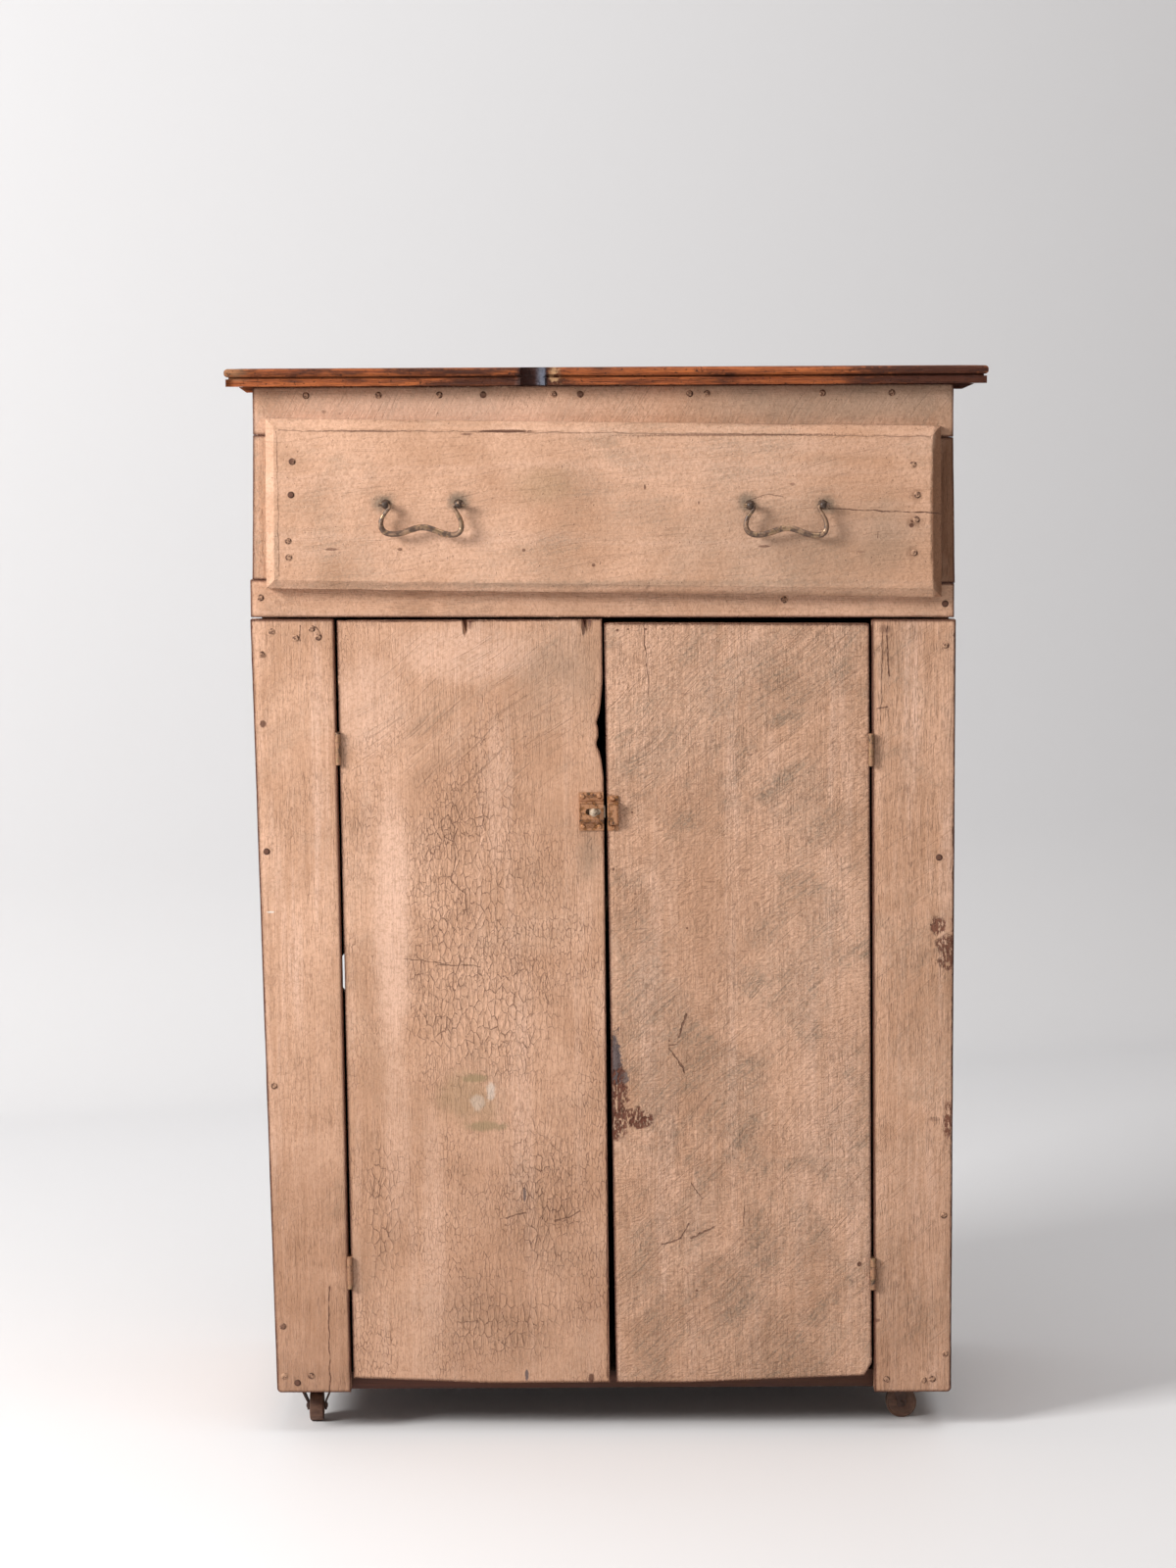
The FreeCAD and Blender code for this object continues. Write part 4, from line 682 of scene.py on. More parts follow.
rightDoor = {
    "seed": 2.0,
    "fineCrackle": 0.16,
    "tickShow": 0.4,
    "streakShow": 0.2,
    "brush": 0.3,
    "brushAngle": 42.0,
    "footDarkening": 0.14,
    "wrinkles": 1.3,
    "relief": 1.7,
    "dirt": 0.72,
    "dirtScale": 12.0,
    "dirtCoverage": 0.47,
    "spots": [
        (0.0107, 0.8689, 0.0018, 0.0018, "crack", 0.9, 0.4, 0.3),
        (0.0221, 0.8698, 0.0014, 0.0014, "crack", 0.9, 0.4, 0.3),
        (0.0407, 0.8697, 0.0018, 0.0018, "crack", 0.9, 0.4, 0.3),
        (0.0583, 0.8697, 0.0012, 0.0012, "crack", 0.9, 0.4, 0.3),
        (0.006, 0.404, 0.008, 0.036, "soot", 0.85, 0.3, 2.0),
        (0.015, 0.39, 0.006, 0.01, "soot", 0.7, 0.3, 2.2),
        (0.008, 0.362, 0.014, 0.042, "chip", 0.98, 0.25, 1.5),
        (0.023, 0.346, 0.024, 0.011, "chip", 0.95, 0.25, 1.6),
        (0.033, 0.34, 0.015, 0.007, "chip", 0.95, 0.3, 1.6),
        (0.2683, 0.184, 0.0028, 0.0028, "crack", 0.95, 0.3, 0.3),
        (0.0255, 0.6749, 0.0016, 0.0016, "crack", 0.85, 0.4, 0.3),
        (0.0835, 0.5505, 0.0015, 0.0015, "crack", 0.85, 0.4, 0.3),
        (0.0054, 0.6141, 0.0015, 0.002, "crack", 0.85, 0.4, 0.3),
        (0.0283, 0.5877, 0.0013, 0.0013, "crack", 0.7, 0.4, 0.3),
        (0.0643, 0.4288, 0.0014, 0.0014, "crack", 0.7, 0.4, 0.3),
        (0.093, 0.156, 0.0018, 0.0018, "undercoat", 0.7, 0.4, 0.5),
    ],
    "splits": [
        (0.0006, 0.9, 0.0397, 0.878, 0.0404, 0.848),
        (0.0004, 0.7, 0.0404, 0.848, 0.0446, 0.7907),
        (0.0013, 0.8, 0.0822, 0.4574, 0.074, 0.433),
        (0.0011, 0.7, 0.0643, 0.4203, 0.0789, 0.4011),
        (0.0007, 0.8, 0.072, 0.425, 0.064, 0.424),
        (0.0006, 0.8, 0.0789, 0.4011, 0.081, 0.3937),
        (0.0013, 0.7, 0.0552, 0.207, 0.076, 0.213),
        (0.0007, 0.8, 0.076, 0.213, 0.085, 0.23),
        (0.0012, 0.7, 0.087, 0.214, 0.1112, 0.225),
        (0.0006, 0.7, 0.088, 0.273, 0.099, 0.256),
        (0.0006, 0.7, 0.1449, 0.248, 0.144, 0.227),
    ],
}

leftStile = {
    "seed": 3.0,
    "brush": 0.12,
    "bandShow": 0.6,
    "footDarkening": 0.52,
    "wear": 0.72,
    "wearTo": 0.06,
    "tickShow": 0.5,
    "streakShow": 0.28,
    "fineCrackle": 0.25,
    "dirtCoverage": 0.42,
    "spots": [
        (-0.365, 0.7715, 0.004, 0.005, "undercoat", 0.8, 0.4, 1.0),
        (-0.36, 0.57, 0.005, 0.0012, "white", 0.8, 0.5, 0.9),
        (-0.363, 0.844, 0.004, 0.003, "crack", 0.6, 0.5, 0.9),
    ],
    "splits": [
        (0.0012, 0.75, -0.3767, 0.88, -0.3602, 0.05),
        (0.0007, 0.45, -0.2812, 0.87, -0.2812, 0.06),
        (0.0006, 0.95, -0.3027, 0.1623, -0.3031, 0.0466),
        (0.0006, 0.8, -0.325, 0.876, -0.324, 0.86),
        (0.0006, 0.8, -0.308, 0.874, -0.301, 0.864),
    ],
}

rightStile = {
    "seed": 4.0,
    "brush": 0.18,
    "bandShow": 0.5,
    "relief": 1.5,
    "footDarkening": 0.42,
    "wear": 0.74,
    "wearTo": 0.06,
    "tickShow": 0.55,
    "streakShow": 0.35,
    "fineCrackle": 0.18,
    "dirt": 0.55,
    "dirtCoverage": 0.46,
    "spots": [
        (0.35, 0.551, 0.009, 0.012, "chip", 0.9, 0.3, 1.6),
        (0.36, 0.532, 0.012, 0.013, "chip", 0.9, 0.3, 1.6),
        (0.361, 0.513, 0.01, 0.011, "chip", 0.9, 0.3, 1.6),
        (0.348, 0.342, 0.008, 0.003, "undercoat", 0.35, 0.5, 1.2),
        (0.363, 0.34, 0.006, 0.024, "chip", 0.9, 0.4, 1.5),
        (0.293, 0.869, 0.008, 0.007, "crack", 0.55, 0.7, 1.0),
        (0.286, 0.122, 0.006, 0.003, "undercoat", 0.6, 0.5, 1.1),
    ],
    "splits": [
        (0.0013, 0.8, 0.3682, 0.876, 0.3675, 0.05),
        (0.0007, 0.95, 0.2954, 0.8767, 0.2977, 0.8186),
        (0.0006, 0.85, 0.2905, 0.865, 0.2906, 0.815),
        (0.0004, 0.6, 0.2906, 0.815, 0.289, 0.7665),
        (0.0008, 0.7, 0.286, 0.784, 0.296, 0.786),
    ],
}

drawerFace = {
    **sideways,
    "seed": 5.0,
    "tickShow": 0.06,
    "streakShow": 0.05,
    "fineCrackle": 0.05,
    "brush": 0.2,
    "brushAngle": 8.0,
    "wrinkles": 0.2,
    "bandShow": 0.22,
    "lumps": 0.75,
    "dirt": 0.55,
    "dirtScale": 8.0,
    "dirtCoverage": 0.47,
    "wear": 0.46,
    "wearFrom": 0.2,
    "wearTo": 0.28,
    "spots": [
        (0.3235, 1.0105, 0.011, 0.008, "grimeAndShade", 0.5, 0.8, 1.2),
        (0.322, 0.9825, 0.012, 0.009, "grimeAndShade", 0.5, 0.8, 1.2),
        (0.32, 0.95, 0.01, 0.009, "grimeAndShade", 0.45, 0.8, 1.2),
        (0.21, 1.089, 0.17, 0.007, "grimeAndShade", 0.45, 0.6, 1.3),
        (0.296, 0.97, 0.05, 0.06, "dirt", 0.35, 0.9, 1.2),
        (-0.066, 1.023, 0.05, 0.03, "stain", 0.28, 0.9, 0.8),
        # right chamfer and bottom chamfer darkened: painted shade on faces turned from the light, with some
        # dirt
        (0.349, 0.995, 0.011, 0.12, "grimeAndShade", 0.88, 0.35, 0.5),
        (-0.01, 0.903, 0.4, 0.011, "grimeAndShade", 0.55, 0.5, 0.4),
        (-0.01, 0.919, 0.4, 0.006, "olive", 0.34, 0.9, 1.6),
        (-0.347, 0.95, 0.005, 0.06, "olive", 0.3, 0.9, 1.4),
        (0.2, 0.96, 0.22, 0.07, "dirt", 0.25, 0.9, 0.9),
        (-0.107, 1.0792, 0.036, 0.0019, "crack", 0.95, 0.4, 1.0),
        (-0.146, 1.0762, 0.008, 0.0015, "crack", 0.7, 0.5, 0.9),
        (-0.25, 1.08, 0.06, 0.0014, "crack", 0.55, 0.5, 2.4),
        (0.13, 1.074, 0.14, 0.0016, "crack", 0.6, 0.5, 2.6),
        (0.0399, 1.0202, 0.0012, 0.0034, "undercoat", 0.75, 0.4, 0.6),
        (-0.0872, 0.9547, 0.0022, 0.0022, "crack", 0.75, 0.4, 0.6),
        (-0.0143, 0.9388, 0.0022, 0.0022, "undercoat", 0.7, 0.4, 0.6),
        (-0.289, 0.9567, 0.0085, 0.0016, "crack", 0.75, 0.4, 0.8),
        (-0.2172, 0.9563, 0.0032, 0.002, "crack", 0.75, 0.4, 0.8),
        (0.165, 0.9575, 0.008, 0.0016, "crack", 0.7, 0.4, 0.8),
        (0.266, 0.9513, 0.006, 0.0018, "crack", 0.4, 0.5, 0.9),
        (0.1943, 1.0224, 0.0036, 0.002, "crack", 0.6, 0.5, 0.8),
        (0.0963, 1.0034, 0.0012, 0.0026, "undercoat", 0.6, 0.5, 0.6),
        (0.323, 0.983, 0.006, 0.0018, "undercoat", 0.8, 0.4, 1.1),
        (0.319, 0.979, 0.003, 0.003, "undercoat", 0.8, 0.4, 1.1),
        (-0.235, 1.005, 0.017, 0.015, "olive", 0.75, 0.8, 1.0),
        (-0.154, 1.006, 0.017, 0.014, "olive", 0.75, 0.8, 1.0),
        (0.147, 1.004, 0.016, 0.014, "olive", 0.7, 0.8, 1.0),
        (0.229, 1.001, 0.015, 0.013, "olive", 0.6, 0.8, 1.0),
    ],
    "splits": [
        (0.0006, 0.4, -0.342, 1.081, -0.04, 1.0775, 0.338, 1.071),
        (0.0006, 0.35, -0.3445, 1.079, -0.3435, 0.929),
        (0.0005, 0.85, 0.2318, 0.9966, 0.28, 0.9945),
        (0.0006, 0.95, 0.28, 0.9945, 0.3622, 0.9898),
        (0.0005, 0.7, 0.284, 0.9728, 0.2842, 0.9666),
        (0.0004, 0.5, 0.1497, 1.0063, 0.17, 1.012, 0.1856, 1.009),
    ],
}

headRail = {
    **sideways,
    "seed": 6.0,
    "tickShow": 0.15,
    "streakShow": 0.1,
    "lumps": 0.7,
    "brush": 0.26,
    "brushAngle": 62.0,
    "fineCrackle": 0.15,
    "spots": [
        # lighter band along the rail under the top: painted light against the overhang's shadow
        (-0.19, 1.098, 0.24, 0.032, "freshAndLit", 0.42, 0.8, 0.6),
        (-0.2964, 1.1002, 0.0036, 0.0024, "crack", 0.45, 0.6, 0.9),
        # right part of the rail darkened with the dirt tone: painted shade
        (0.25, 1.108, 0.22, 0.04, "dirt", 0.5, 0.8, 0.8),
    ],
}

waistRail = {
    **sideways,
    "seed": 7.0,
    "tickShow": 0.3,
    "streakShow": 0.2,
    "lumps": 0.6,
    "brush": 0.16,
    "brushAngle": 3.0,
    "fineCrackle": 0.2,
    "dirt": 0.4,
}

postPaint = {"seed": 8.0, "brush": 0.15, "dirt": 0.7, "dirtCoverage": 0.55}
# the right post darkened down its face: painted shadow of the drawer front beside it, with dirt
rightPostPaint = {**postPaint, "spots": [(0.365, 1.0, 0.03, 0.14, "grimeAndShade", 0.88, 0.6, 0.4)]}

sidePaint = {
    "seed": 9.0,
    "bareSide": (1.0, 0.0, 0.0),
    "fineCrackle": 0.28,
    "streakShow": 0.25,
    "tickShow": 0.4,
    "brush": 0.2,
    "dirt": 0.45,
}
rightSidePaint = {**sidePaint, "seed": 10.0, "bareSide": (-1.0, 0.0, 0.0)}
for name, body, paintName, look, form in (
    ("door_left_board", "door_left", "leftDoorPaint", leftDoor, {}),
    ("door_right_board", "door_right", "rightDoorPaint", rightDoor, {}),
    ("stile_left", "case", "leftStilePaint", leftStile, {}),
    ("stile_right", "case", "rightStilePaint", rightStile, {}),
    ("drawer_front", "drawer", "drawerPaint", drawerFace, {"soften": 0.0022}),
    ("top_rail", "case", "headRailPaint", headRail, {}),
    ("waist_rail", "case", "waistRailPaint", waistRail, {}),
    ("drawer_post_left", "case", "leftPostPaint", postPaint, {}),
    ("drawer_post_right", "case", "rightPostPaint", rightPostPaint, {}),
    ("side_panel_left", "case", "leftSidePaint", sidePaint, {"spacing": 0.03}),
    ("side_panel_right", "case", "rightSidePaint", rightSidePaint, {"spacing": 0.03}),
):
    ageBoard(name, body, makePaint(paintName, **look), **form)
print("painted boards done")


# stained pine of the top

topLook = {
    "seed": 11.0,
    "honey": (0.47, 0.13, 0.034, 1.0),
    "red": (0.19, 0.042, 0.012, 1.0),
    "black": (0.034, 0.008, 0.004, 1.0),
    "worn": (0.56, 0.33, 0.17, 1.0),
    "rubbed": (0.15, 0.05, 0.02, 1.0),  # the upper face, evenly handled
    # painted reflection on the right half of the notch
    "paintedReflection": (0.11, 0.12, 0.155, 1.0),
    "notch": (-0.0767, -0.204),
    "rightDark": (0.2, 0.33),  # x where the front edge turns dark, and where it is darkest
    "middleDark": (-0.26, -0.16, -0.02, -0.09),
    "leftPale": (-0.35, -0.4),
    "shadowReach": (0.024, 0.0175),  # how far out from the notch the painted shadow fades, and is full
    "roughness": 0.34,
    "shine": 0.25,
}


def makeStain(name, look):
    material, place = startMaterial(name)
    seed = look["seed"]
    shifted = vectors("ADD", place, (seed, seed * 0.7, seed * 1.3))

    def lay(share, toneName):
        nonlocal colour
        colour = blendColours(share, colour, look[toneName])

    grain = useGroup(woodGrain, Vector=shifted, Spread=(7.0, 130.0, 300.0), Waver=2.6)
    colour = blendColours(grain["Rings"], look["red"], look["honey"])
    lay(times(grain["Pores"], 0.7), "black")
    across = addNode("SeparateXYZ", Vector=place).outputs["X"]
    upper = steps(facing("Z"), 0.7, 0.95)
    onEdge = minus(1.0, upper)

    # dark stretches of the front edge, and a pale left end
    blotch = stretched(shifted, (13.0, 24.0, 60.0), 6.0, 0.68)
    rightEnd = times(steps(across, *look["rightDark"], -0.02, 0.3), onEdge)
    darkShare = plus(blotch, rightEnd)
    start, full, end, fade = look["middleDark"]
    middle = times(steps(across, start, full), steps(across, end, fade))
    middle = times(middle, onEdge)
    darkShare = plus(darkShare, times(middle, 0.17))
    lay(steps(darkShare, 0.44, 0.66, 0.0, 0.88), "black")
    lay(times(upper, 0.62), "rubbed")
    leftEnd = minus(steps(across, *look["leftPale"]), 0.35)
    lay(times(leftEnd, steps(blotch, 0.4, 0.6, 0.0, 0.6), clamp=True), "worn")

    pits = steps(stretched(shifted, (260.0, 400.0, 420.0), 3.0, 0.6), 0.6, 0.7)
    lay(times(pits, 0.85), "black")
    wear = useGroup(edgeWear, Vector=shifted, Reach=0.0016, Coverage=0.46)["Mask"]
    lay(times(wear, 0.45), "honey")
    # painted shade in the groove and other hollows of the top, found by occlusion
    lay(steps(hollows(0.005), 0.8, 0.35, 0.0, 0.5), "black")

    # the notch: black all round, painted shadow of the scoop, with a painted reflection on its right half
    # and chips beside it
    x, y = look["notch"]
    shadowReach = vectors("DISTANCE", vectors("MULTIPLY", place, (1, 1, 0)), (x, y, 0))
    shadowReach = plus(shadowReach, times(cloud(place, 160.0, 3.0), 0.008))
    lay(steps(shadowReach, *look["shadowReach"]), "black")
    rightHalf = minus(across, x)
    shine = times(steps(rightHalf, 0.001, 0.01), steps(rightHalf, 0.015, 0.012))
    shine = times(shine, steps(shadowReach, 0.021, 0.017))
    lay(times(shine, 0.9), "paintedReflection")
    chip = times(steps(shadowReach, 0.02, 0.024), steps(shadowReach, 0.036, 0.028))
    chip = times(chip, steps(rightHalf, 0.01, 0.016))
    chip = times(chip, steps(cloud(place, 210.0, 3.0), 0.42, 0.55))
    lay(times(chip, 0.8), "worn")

    height = minus(grain["Rings"], grain["Pores"])
    height = plus(height, times(cloud(shifted, 90.0, 4.0), 1.8))
    height = minus(height, times(pits, 1.4))
    roughness = plus(look["roughness"], times(blotch, 0.3))
    return finishMaterial(material, colour, roughness, height, 0.9, 0.0008, look["shine"])


stain = makeStain("stainedPine", topLook)
for name in ("top_board", "top_moulding_left", "top_moulding_right"):
    piece = ageBoard(name, "case", stain, soften=0.0007, wander=0.0006, spacing=0.012)
print("top done")


# wood that was never painted, inside and underneath

bareLook = {
    "pale": (0.35, 0.212, 0.122, 1.0),
    "deep": (0.225, 0.122, 0.066, 1.0),
    "dust": (0.255, 0.175, 0.115, 1.0),
    "jointShade": (0.03, 0.018, 0.012, 1.0),
    "inside": None,  # another tone for the upper face
    "boards": (3.4, 0.4, 0.4),  # changes of tone per metre from board to board
    "roughness": 0.62,
}
# underneath: faces that don't look up are near black, painted shade under the cupboard; the upper face
# keeps the bare tone
shadedUndersideLook = {
    **bareLook,
    "pale": (0.11, 0.03, 0.012, 1.0),
    "deep": (0.04, 0.011, 0.005, 1.0),
    "dust": (0.09, 0.045, 0.025, 1.0),
    "inside": (0.34, 0.205, 0.112, 1.0),
    "insideDeep": (0.19, 0.1, 0.052, 1.0),
}
wheelLook = {
    **bareLook,
    "pale": (0.19, 0.092, 0.055, 1.0),
    "deep": (0.085, 0.036, 0.022, 1.0),
    "dust": (0.2, 0.14, 0.105, 1.0),
}


def makeBareWood(name, look, spread):
    material, place = startMaterial(name)
    grain = useGroup(woodGrain, Vector=place, Spread=spread, Waver=0.7)
    colour = blendColours(grain["Rings"], look["deep"], look["pale"])
    colour = blendColours(times(grain["Pores"], 0.45), colour, look["deep"])
    if look["inside"]:
        upward = facing("Z")
        inner = blendColours(grain["Rings"], look["insideDeep"], look["inside"])
        colour = blendColours(steps(upward, 0.5, 0.9), colour, inner)
    boards = stretched(place, look["boards"], 1.0)
    colour = blendColours(steps(boards, 0.35, 0.65, 0.0, 0.35), colour, look["deep"])
    # painted shade in the joints and inner corners, where occlusion finds them
    jointShading = steps(hollows(0.006), 0.92, 0.5, 0.0, 0.8)
    colour = blendColours(jointShading, colour, look["jointShade"])
    dusty = useGroup(dirtPatches, Vector=place, Scale=6.0, Coverage=0.5)["Mask"]
    colour = blendColours(times(dusty, 0.45), colour, look["dust"])
    height = minus(grain["Rings"], times(grain["Pores"], 0.8))
    roughness = plus(look["roughness"], times(dusty, 0.2))
    return finishMaterial(material, colour, roughness, height, 0.5, 0.0005)


def dressNodes(material, *names):
    for name in names:
        data = nodes[name].data
        data.materials.clear()
        data.materials.append(material)


# the spread of the grain is its lines per metre along x, y and z
uprightWood = makeBareWood("bareWoodUpright", bareLook, (95.0, 95.0, 2.4))
levelWood = makeBareWood("bareWoodLevel", bareLook, (2.4, 80.0, 95.0))
deepWood = makeBareWood("bareWoodDeep", bareLook, (80.0, 2.4, 95.0))
shadedUnderside = makeBareWood("shadedUndersideWood", shadedUndersideLook, (1.8, 46.0, 60.0))
dressNodes(uprightWood, "back_strip", "back_boards")
dressNodes(
    levelWood, "door_left_battens", "door_right_battens", "shelf", "top_batten", "drawer_back",
    "drawer_bottom",
)
dressNodes(
    deepWood, "shelf_cleats", "drawer_runners", "drawer_guides", "drawer_kickers",
    "drawer_side_left", "drawer_side_right",
)
dressNodes(shadedUnderside, "bottom_board", "caster_blocks")
print("bare wood done")


# old metal, dark with tarnish or rust, and partly under the cupboard's paint

metalBasics = {
    "metal": (0.34, 0.215, 0.12, 1.0),
    "tarnish": (0.05, 0.028, 0.018, 1.0),
    "paint": (0.5, 0.32, 0.21, 1.0),
    "rust": (0.15, 0.055, 0.026, 1.0),
    "paintShare": 0.5,  # how much of it the cupboard's paint covers, 0 to 1
    "tarnishShare": 0.35,
    "patchSize": 90.0,  # patches per metre
    "recess": 0.0,  # dirt in the hollows, and how far out it reaches in metres
    "recessReach": 0.003,
    "roughness": 0.42,
}
metalLooks = {
    "pullBrass": {
        "metal": (0.4, 0.262, 0.16, 1.0),
        "tarnish": (0.095, 0.055, 0.036, 1.0),
        "paint": (0.33, 0.195, 0.12, 1.0),
        "paintShare": 0.42, "tarnishShare": 0.6, "patchSize": 42.0, "roughness": 0.36,
    },
    "postBrass": {
        "rust": (0.06, 0.03, 0.02, 1.0), "paintShare": 0.05, "tarnishShare": 0.9, "patchSize": 150.0,
    },
    "catchBrass": {
        "metal": (0.36, 0.165, 0.068, 1.0),
        "paint": (0.41, 0.195, 0.095, 1.0),
        "paintShare": 0.55, "patchSize": 160.0, "recess": 0.95, "roughness": 0.45,
    },
    "knobBrass": {
        "paint": (0.46, 0.36, 0.26, 1.0), "paintShare": 0.7, "tarnishShare": 0.5, "patchSize": 220.0,
    },
    "hingeIron": {
        "paint": (0.33, 0.165, 0.088, 1.0), "paintShare": 0.62, "tarnishShare": 0.4, "recess": 0.95,
    },
    "casterIron": {
        "metal": (0.085, 0.058, 0.048, 1.0),
        "tarnish": (0.06, 0.026, 0.018, 1.0),
        "paintShare": -0.5, "tarnishShare": 0.5, "recess": 0.5, "roughness": 0.55,
    },
}


def makeMetal(name, changes):
    look = {**metalBasics, **changes}
    material, place = startMaterial(name)
    limit = 0.7 - look["tarnishShare"] * 0.4
    patches = cloud(place, look["patchSize"] * 2.1, 5.0, 0.65, 0.4)
    tarnish = steps(patches, limit - 0.05, limit + 0.05)
    limit = 0.7 - look["paintShare"] * 0.4
    covered = steps(cloud(place, look["patchSize"], 5.0, 0.65), limit - 0.04, limit + 0.04)
    wear = useGroup(edgeWear, Vector=place, Reach=0.0006, Coverage=0.5)["Mask"]
    covered = times(covered, minus(1.0, times(wear, 0.8)))
    colour = blendColours(tarnish, look["metal"], look["tarnish"])
    colour = blendColours(covered, colour, look["paint"])
    rust = steps(cloud(place, 480.0, 4.0, 0.7), 0.56, 0.66, 0.0, 0.7)
    colour = blendColours(rust, colour, look["rust"])
    if look["recess"]:
        hollow = steps(hollows(look["recessReach"]), 0.95, 0.45)
        colour = blendColours(times(hollow, look["recess"]), colour, look["rust"])
    bare = times(minus(1.0, covered), minus(1.0, tarnish))
    height = plus(times(covered, 0.6), cloud(place, 900.0, 3.0))
    roughness = plus(look["roughness"], times(covered, 0.2))
    return finishMaterial(material, colour, roughness, height, 0.6, 0.0004, metallic=times(bare, 0.85))


nailLook = {
    "paint": (0.47, 0.275, 0.175, 1.0),
    "iron": (0.135, 0.062, 0.04, 1.0),
    "rim": (0.085, 0.04, 0.026, 1.0),
    "roughness": 0.75,
    "shine": 0.25,
}


def makeNailHeads(name, look):
    # some heads are still under paint and show only their rim, others have lost it
    material, place = startMaterial(name)
    top = steps(maths("ABSOLUTE", facing("Y")), 0.8, 0.93)
    kept = steps(cloud(place, 17.0, 1.0), 0.4, 0.46)
    flaked = steps(cloud(place, 700.0, 3.0, 0.7), 0.44, 0.54)
    painted = times(top, times(kept, flaked))
    broken = steps(cloud(place, 260.0, 2.0, 0.6), 0.44, 0.56)
    rim = blendColours(times(kept, broken), look["rim"], look["paint"])
    colour = blendColours(top, rim, look["iron"])
    colour = blendColours(painted, colour, look["paint"])
    height = plus(painted, cloud(place, 1500.0, 3.0))
    roughness = minus(look["roughness"], times(painted, 0.15))
    return finishMaterial(material, colour, roughness, height, 0.6, 0.0003, look["shine"])


metals = {name: makeMetal(name, changes) for name, changes in metalLooks.items()}
dressNodes(metals["postBrass"], "pull_posts_left", "pull_posts_right")
dressNodes(metals["knobBrass"], "catch_bolt")
dressNodes(metals["catchBrass"], "catch_screws", "keeper_screws")
dressNodes(metals["casterIron"], "pull_nuts", "caster_sockets")
dressNodes(
    metals["hingeIron"], "hinge_pins", "door_hinge_leaves_left", "door_hinge_leaves_right",
    "frame_hinge_leaves_left", "frame_hinge_leaves_right",
)
dressNodes(makeNailHeads("nailHeads", nailLook), "frame_nails", "drawer_nails")


# bails, each drawn from one thick rod and hammered a little flat at the grip

bailLook = {
    "rod": 0.0019,
    # across from the middle between the posts, up from their eyes, and thickness as a share of the rod
    "points": [
        (-0.0455, 0.0, 1.0), (-0.0335, 0.0, 1.0), (-0.0328, -0.0032, 1.0), (-0.0405, -0.011, 1.2),
        (-0.044, -0.0205, 1.45), (-0.0395, -0.0312, 1.6), (-0.023, -0.0312, 1.6),
        (-0.011, -0.0262, 1.65), (0.001, -0.0228, 1.75), (0.012, -0.0262, 1.7),
        (0.0245, -0.0322, 1.6), (0.0405, -0.0322, 1.6), (0.0425, -0.0205, 1.45),
        (0.0385, -0.011, 1.2), (0.0328, -0.0032, 1.0), (0.0335, 0.0, 1.0), (0.0455, 0.0, 1.0),
    ],
    "gripHalf": 0.03,
    "flatten": 0.36,
    "hammering": 0.00015,
    "hammerMarks": 330.0,  # per metre
}


def bendBail(name, look, material):
    low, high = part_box(name)
    centre = (low[0] + high[0]) / 2
    eyeLine = high[2] - look["rod"]
    depth = (low[1] + high[1]) / 2
    data = bpy.data.curves.new(name + "_bent", "CURVE")
    data.dimensions = "3D"
    data.bevel_depth = look["rod"]
    data.bevel_resolution = 6
    data.resolution_u = 8
    data.use_fill_caps = True
    line = data.splines.new("NURBS")
    line.points.add(len(look["points"]) - 1)
    reach = (high[0] - low[0]) / 2
    for point, (across, up, thick) in zip(line.points, look["points"]):
        across = max(min(across, reach), -reach)
        point.co = (centre + across, depth, eyeLine + up, 1.0)
        point.radius = thick
    line.order_u = 4
    line.use_endpoint_u = True
    sketch = addPiece(name + "_bent", data)
    mesh = bpy.data.meshes.new_from_object(sketch.evaluated_get(bpy.context.evaluated_depsgraph_get()))
    bpy.data.objects.remove(sketch)
    for vert in mesh.vertices:
        grip = max(0.0, 1.0 - abs(vert.co.x - centre) / look["gripHalf"])
        vert.co.y -= (vert.co.y - depth) * look["flatten"] * grip
        vert.co += vert.normal * look["hammering"] * noise.noise(vert.co * look["hammerMarks"])
    smoothFaces(mesh)
    piece = addPiece(name + "_bent", mesh)
    mesh.materials.clear()
    mesh.materials.append(material)
    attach(piece, name)
    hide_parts(name)


for name in ("bail_left", "bail_right"):
    bendBail(name, bailLook, metals["pullBrass"])


# cupboard catch and keeper, pressed with rows of beads and small rings

catchLook = {
    "plate": 0.0014,  # thickness of the flanges
    "catchBox": 0.0214,  # height of the raised middle
    "keeperBox": 0.024,
    "edge": 0.0017,  # from the rim in to the beads
    "bead": 0.00078,
    "beadDepth": 0.8,
    "pitch": 0.0021,
    "ring": 0.00135,
    "ringRod": 0.00042,
    "ringInset": 0.0042,
    "ringPitch": 0.004,
    "ringSides": 14,
    "rodSides": 6,
}


def addBead(mesh, x, y, z, look):
    made = bmesh.ops.create_uvsphere(mesh, u_segments=10, v_segments=6, radius=look["bead"])
    for vert in made["verts"]:
        vert.co = Vector((x + vert.co.x, y + vert.co.y * look["beadDepth"], z + vert.co.z))


def addRing(mesh, x, y, z, look):
    turns, sides, rod = look["ringSides"], look["rodSides"], look["ringRod"]
    rings = []
    for turn in range(turns):
        angle = 2 * math.pi * turn / turns
        row = []
        for side in range(sides):
            around = 2 * math.pi * side / sides
            away = look["ring"] + rod * math.cos(around)
            row.append(mesh.verts.new(
                (x + away * math.cos(angle), y - rod * math.sin(around), z + away * math.sin(angle))
            ))
        rings.append(row)
    for turn in range(turns):
        here, there = rings[turn], rings[(turn + 1) % turns]
        for side in range(sides):
            after = (side + 1) % sides
            mesh.faces.new((here[side], there[side], there[after], here[after]))


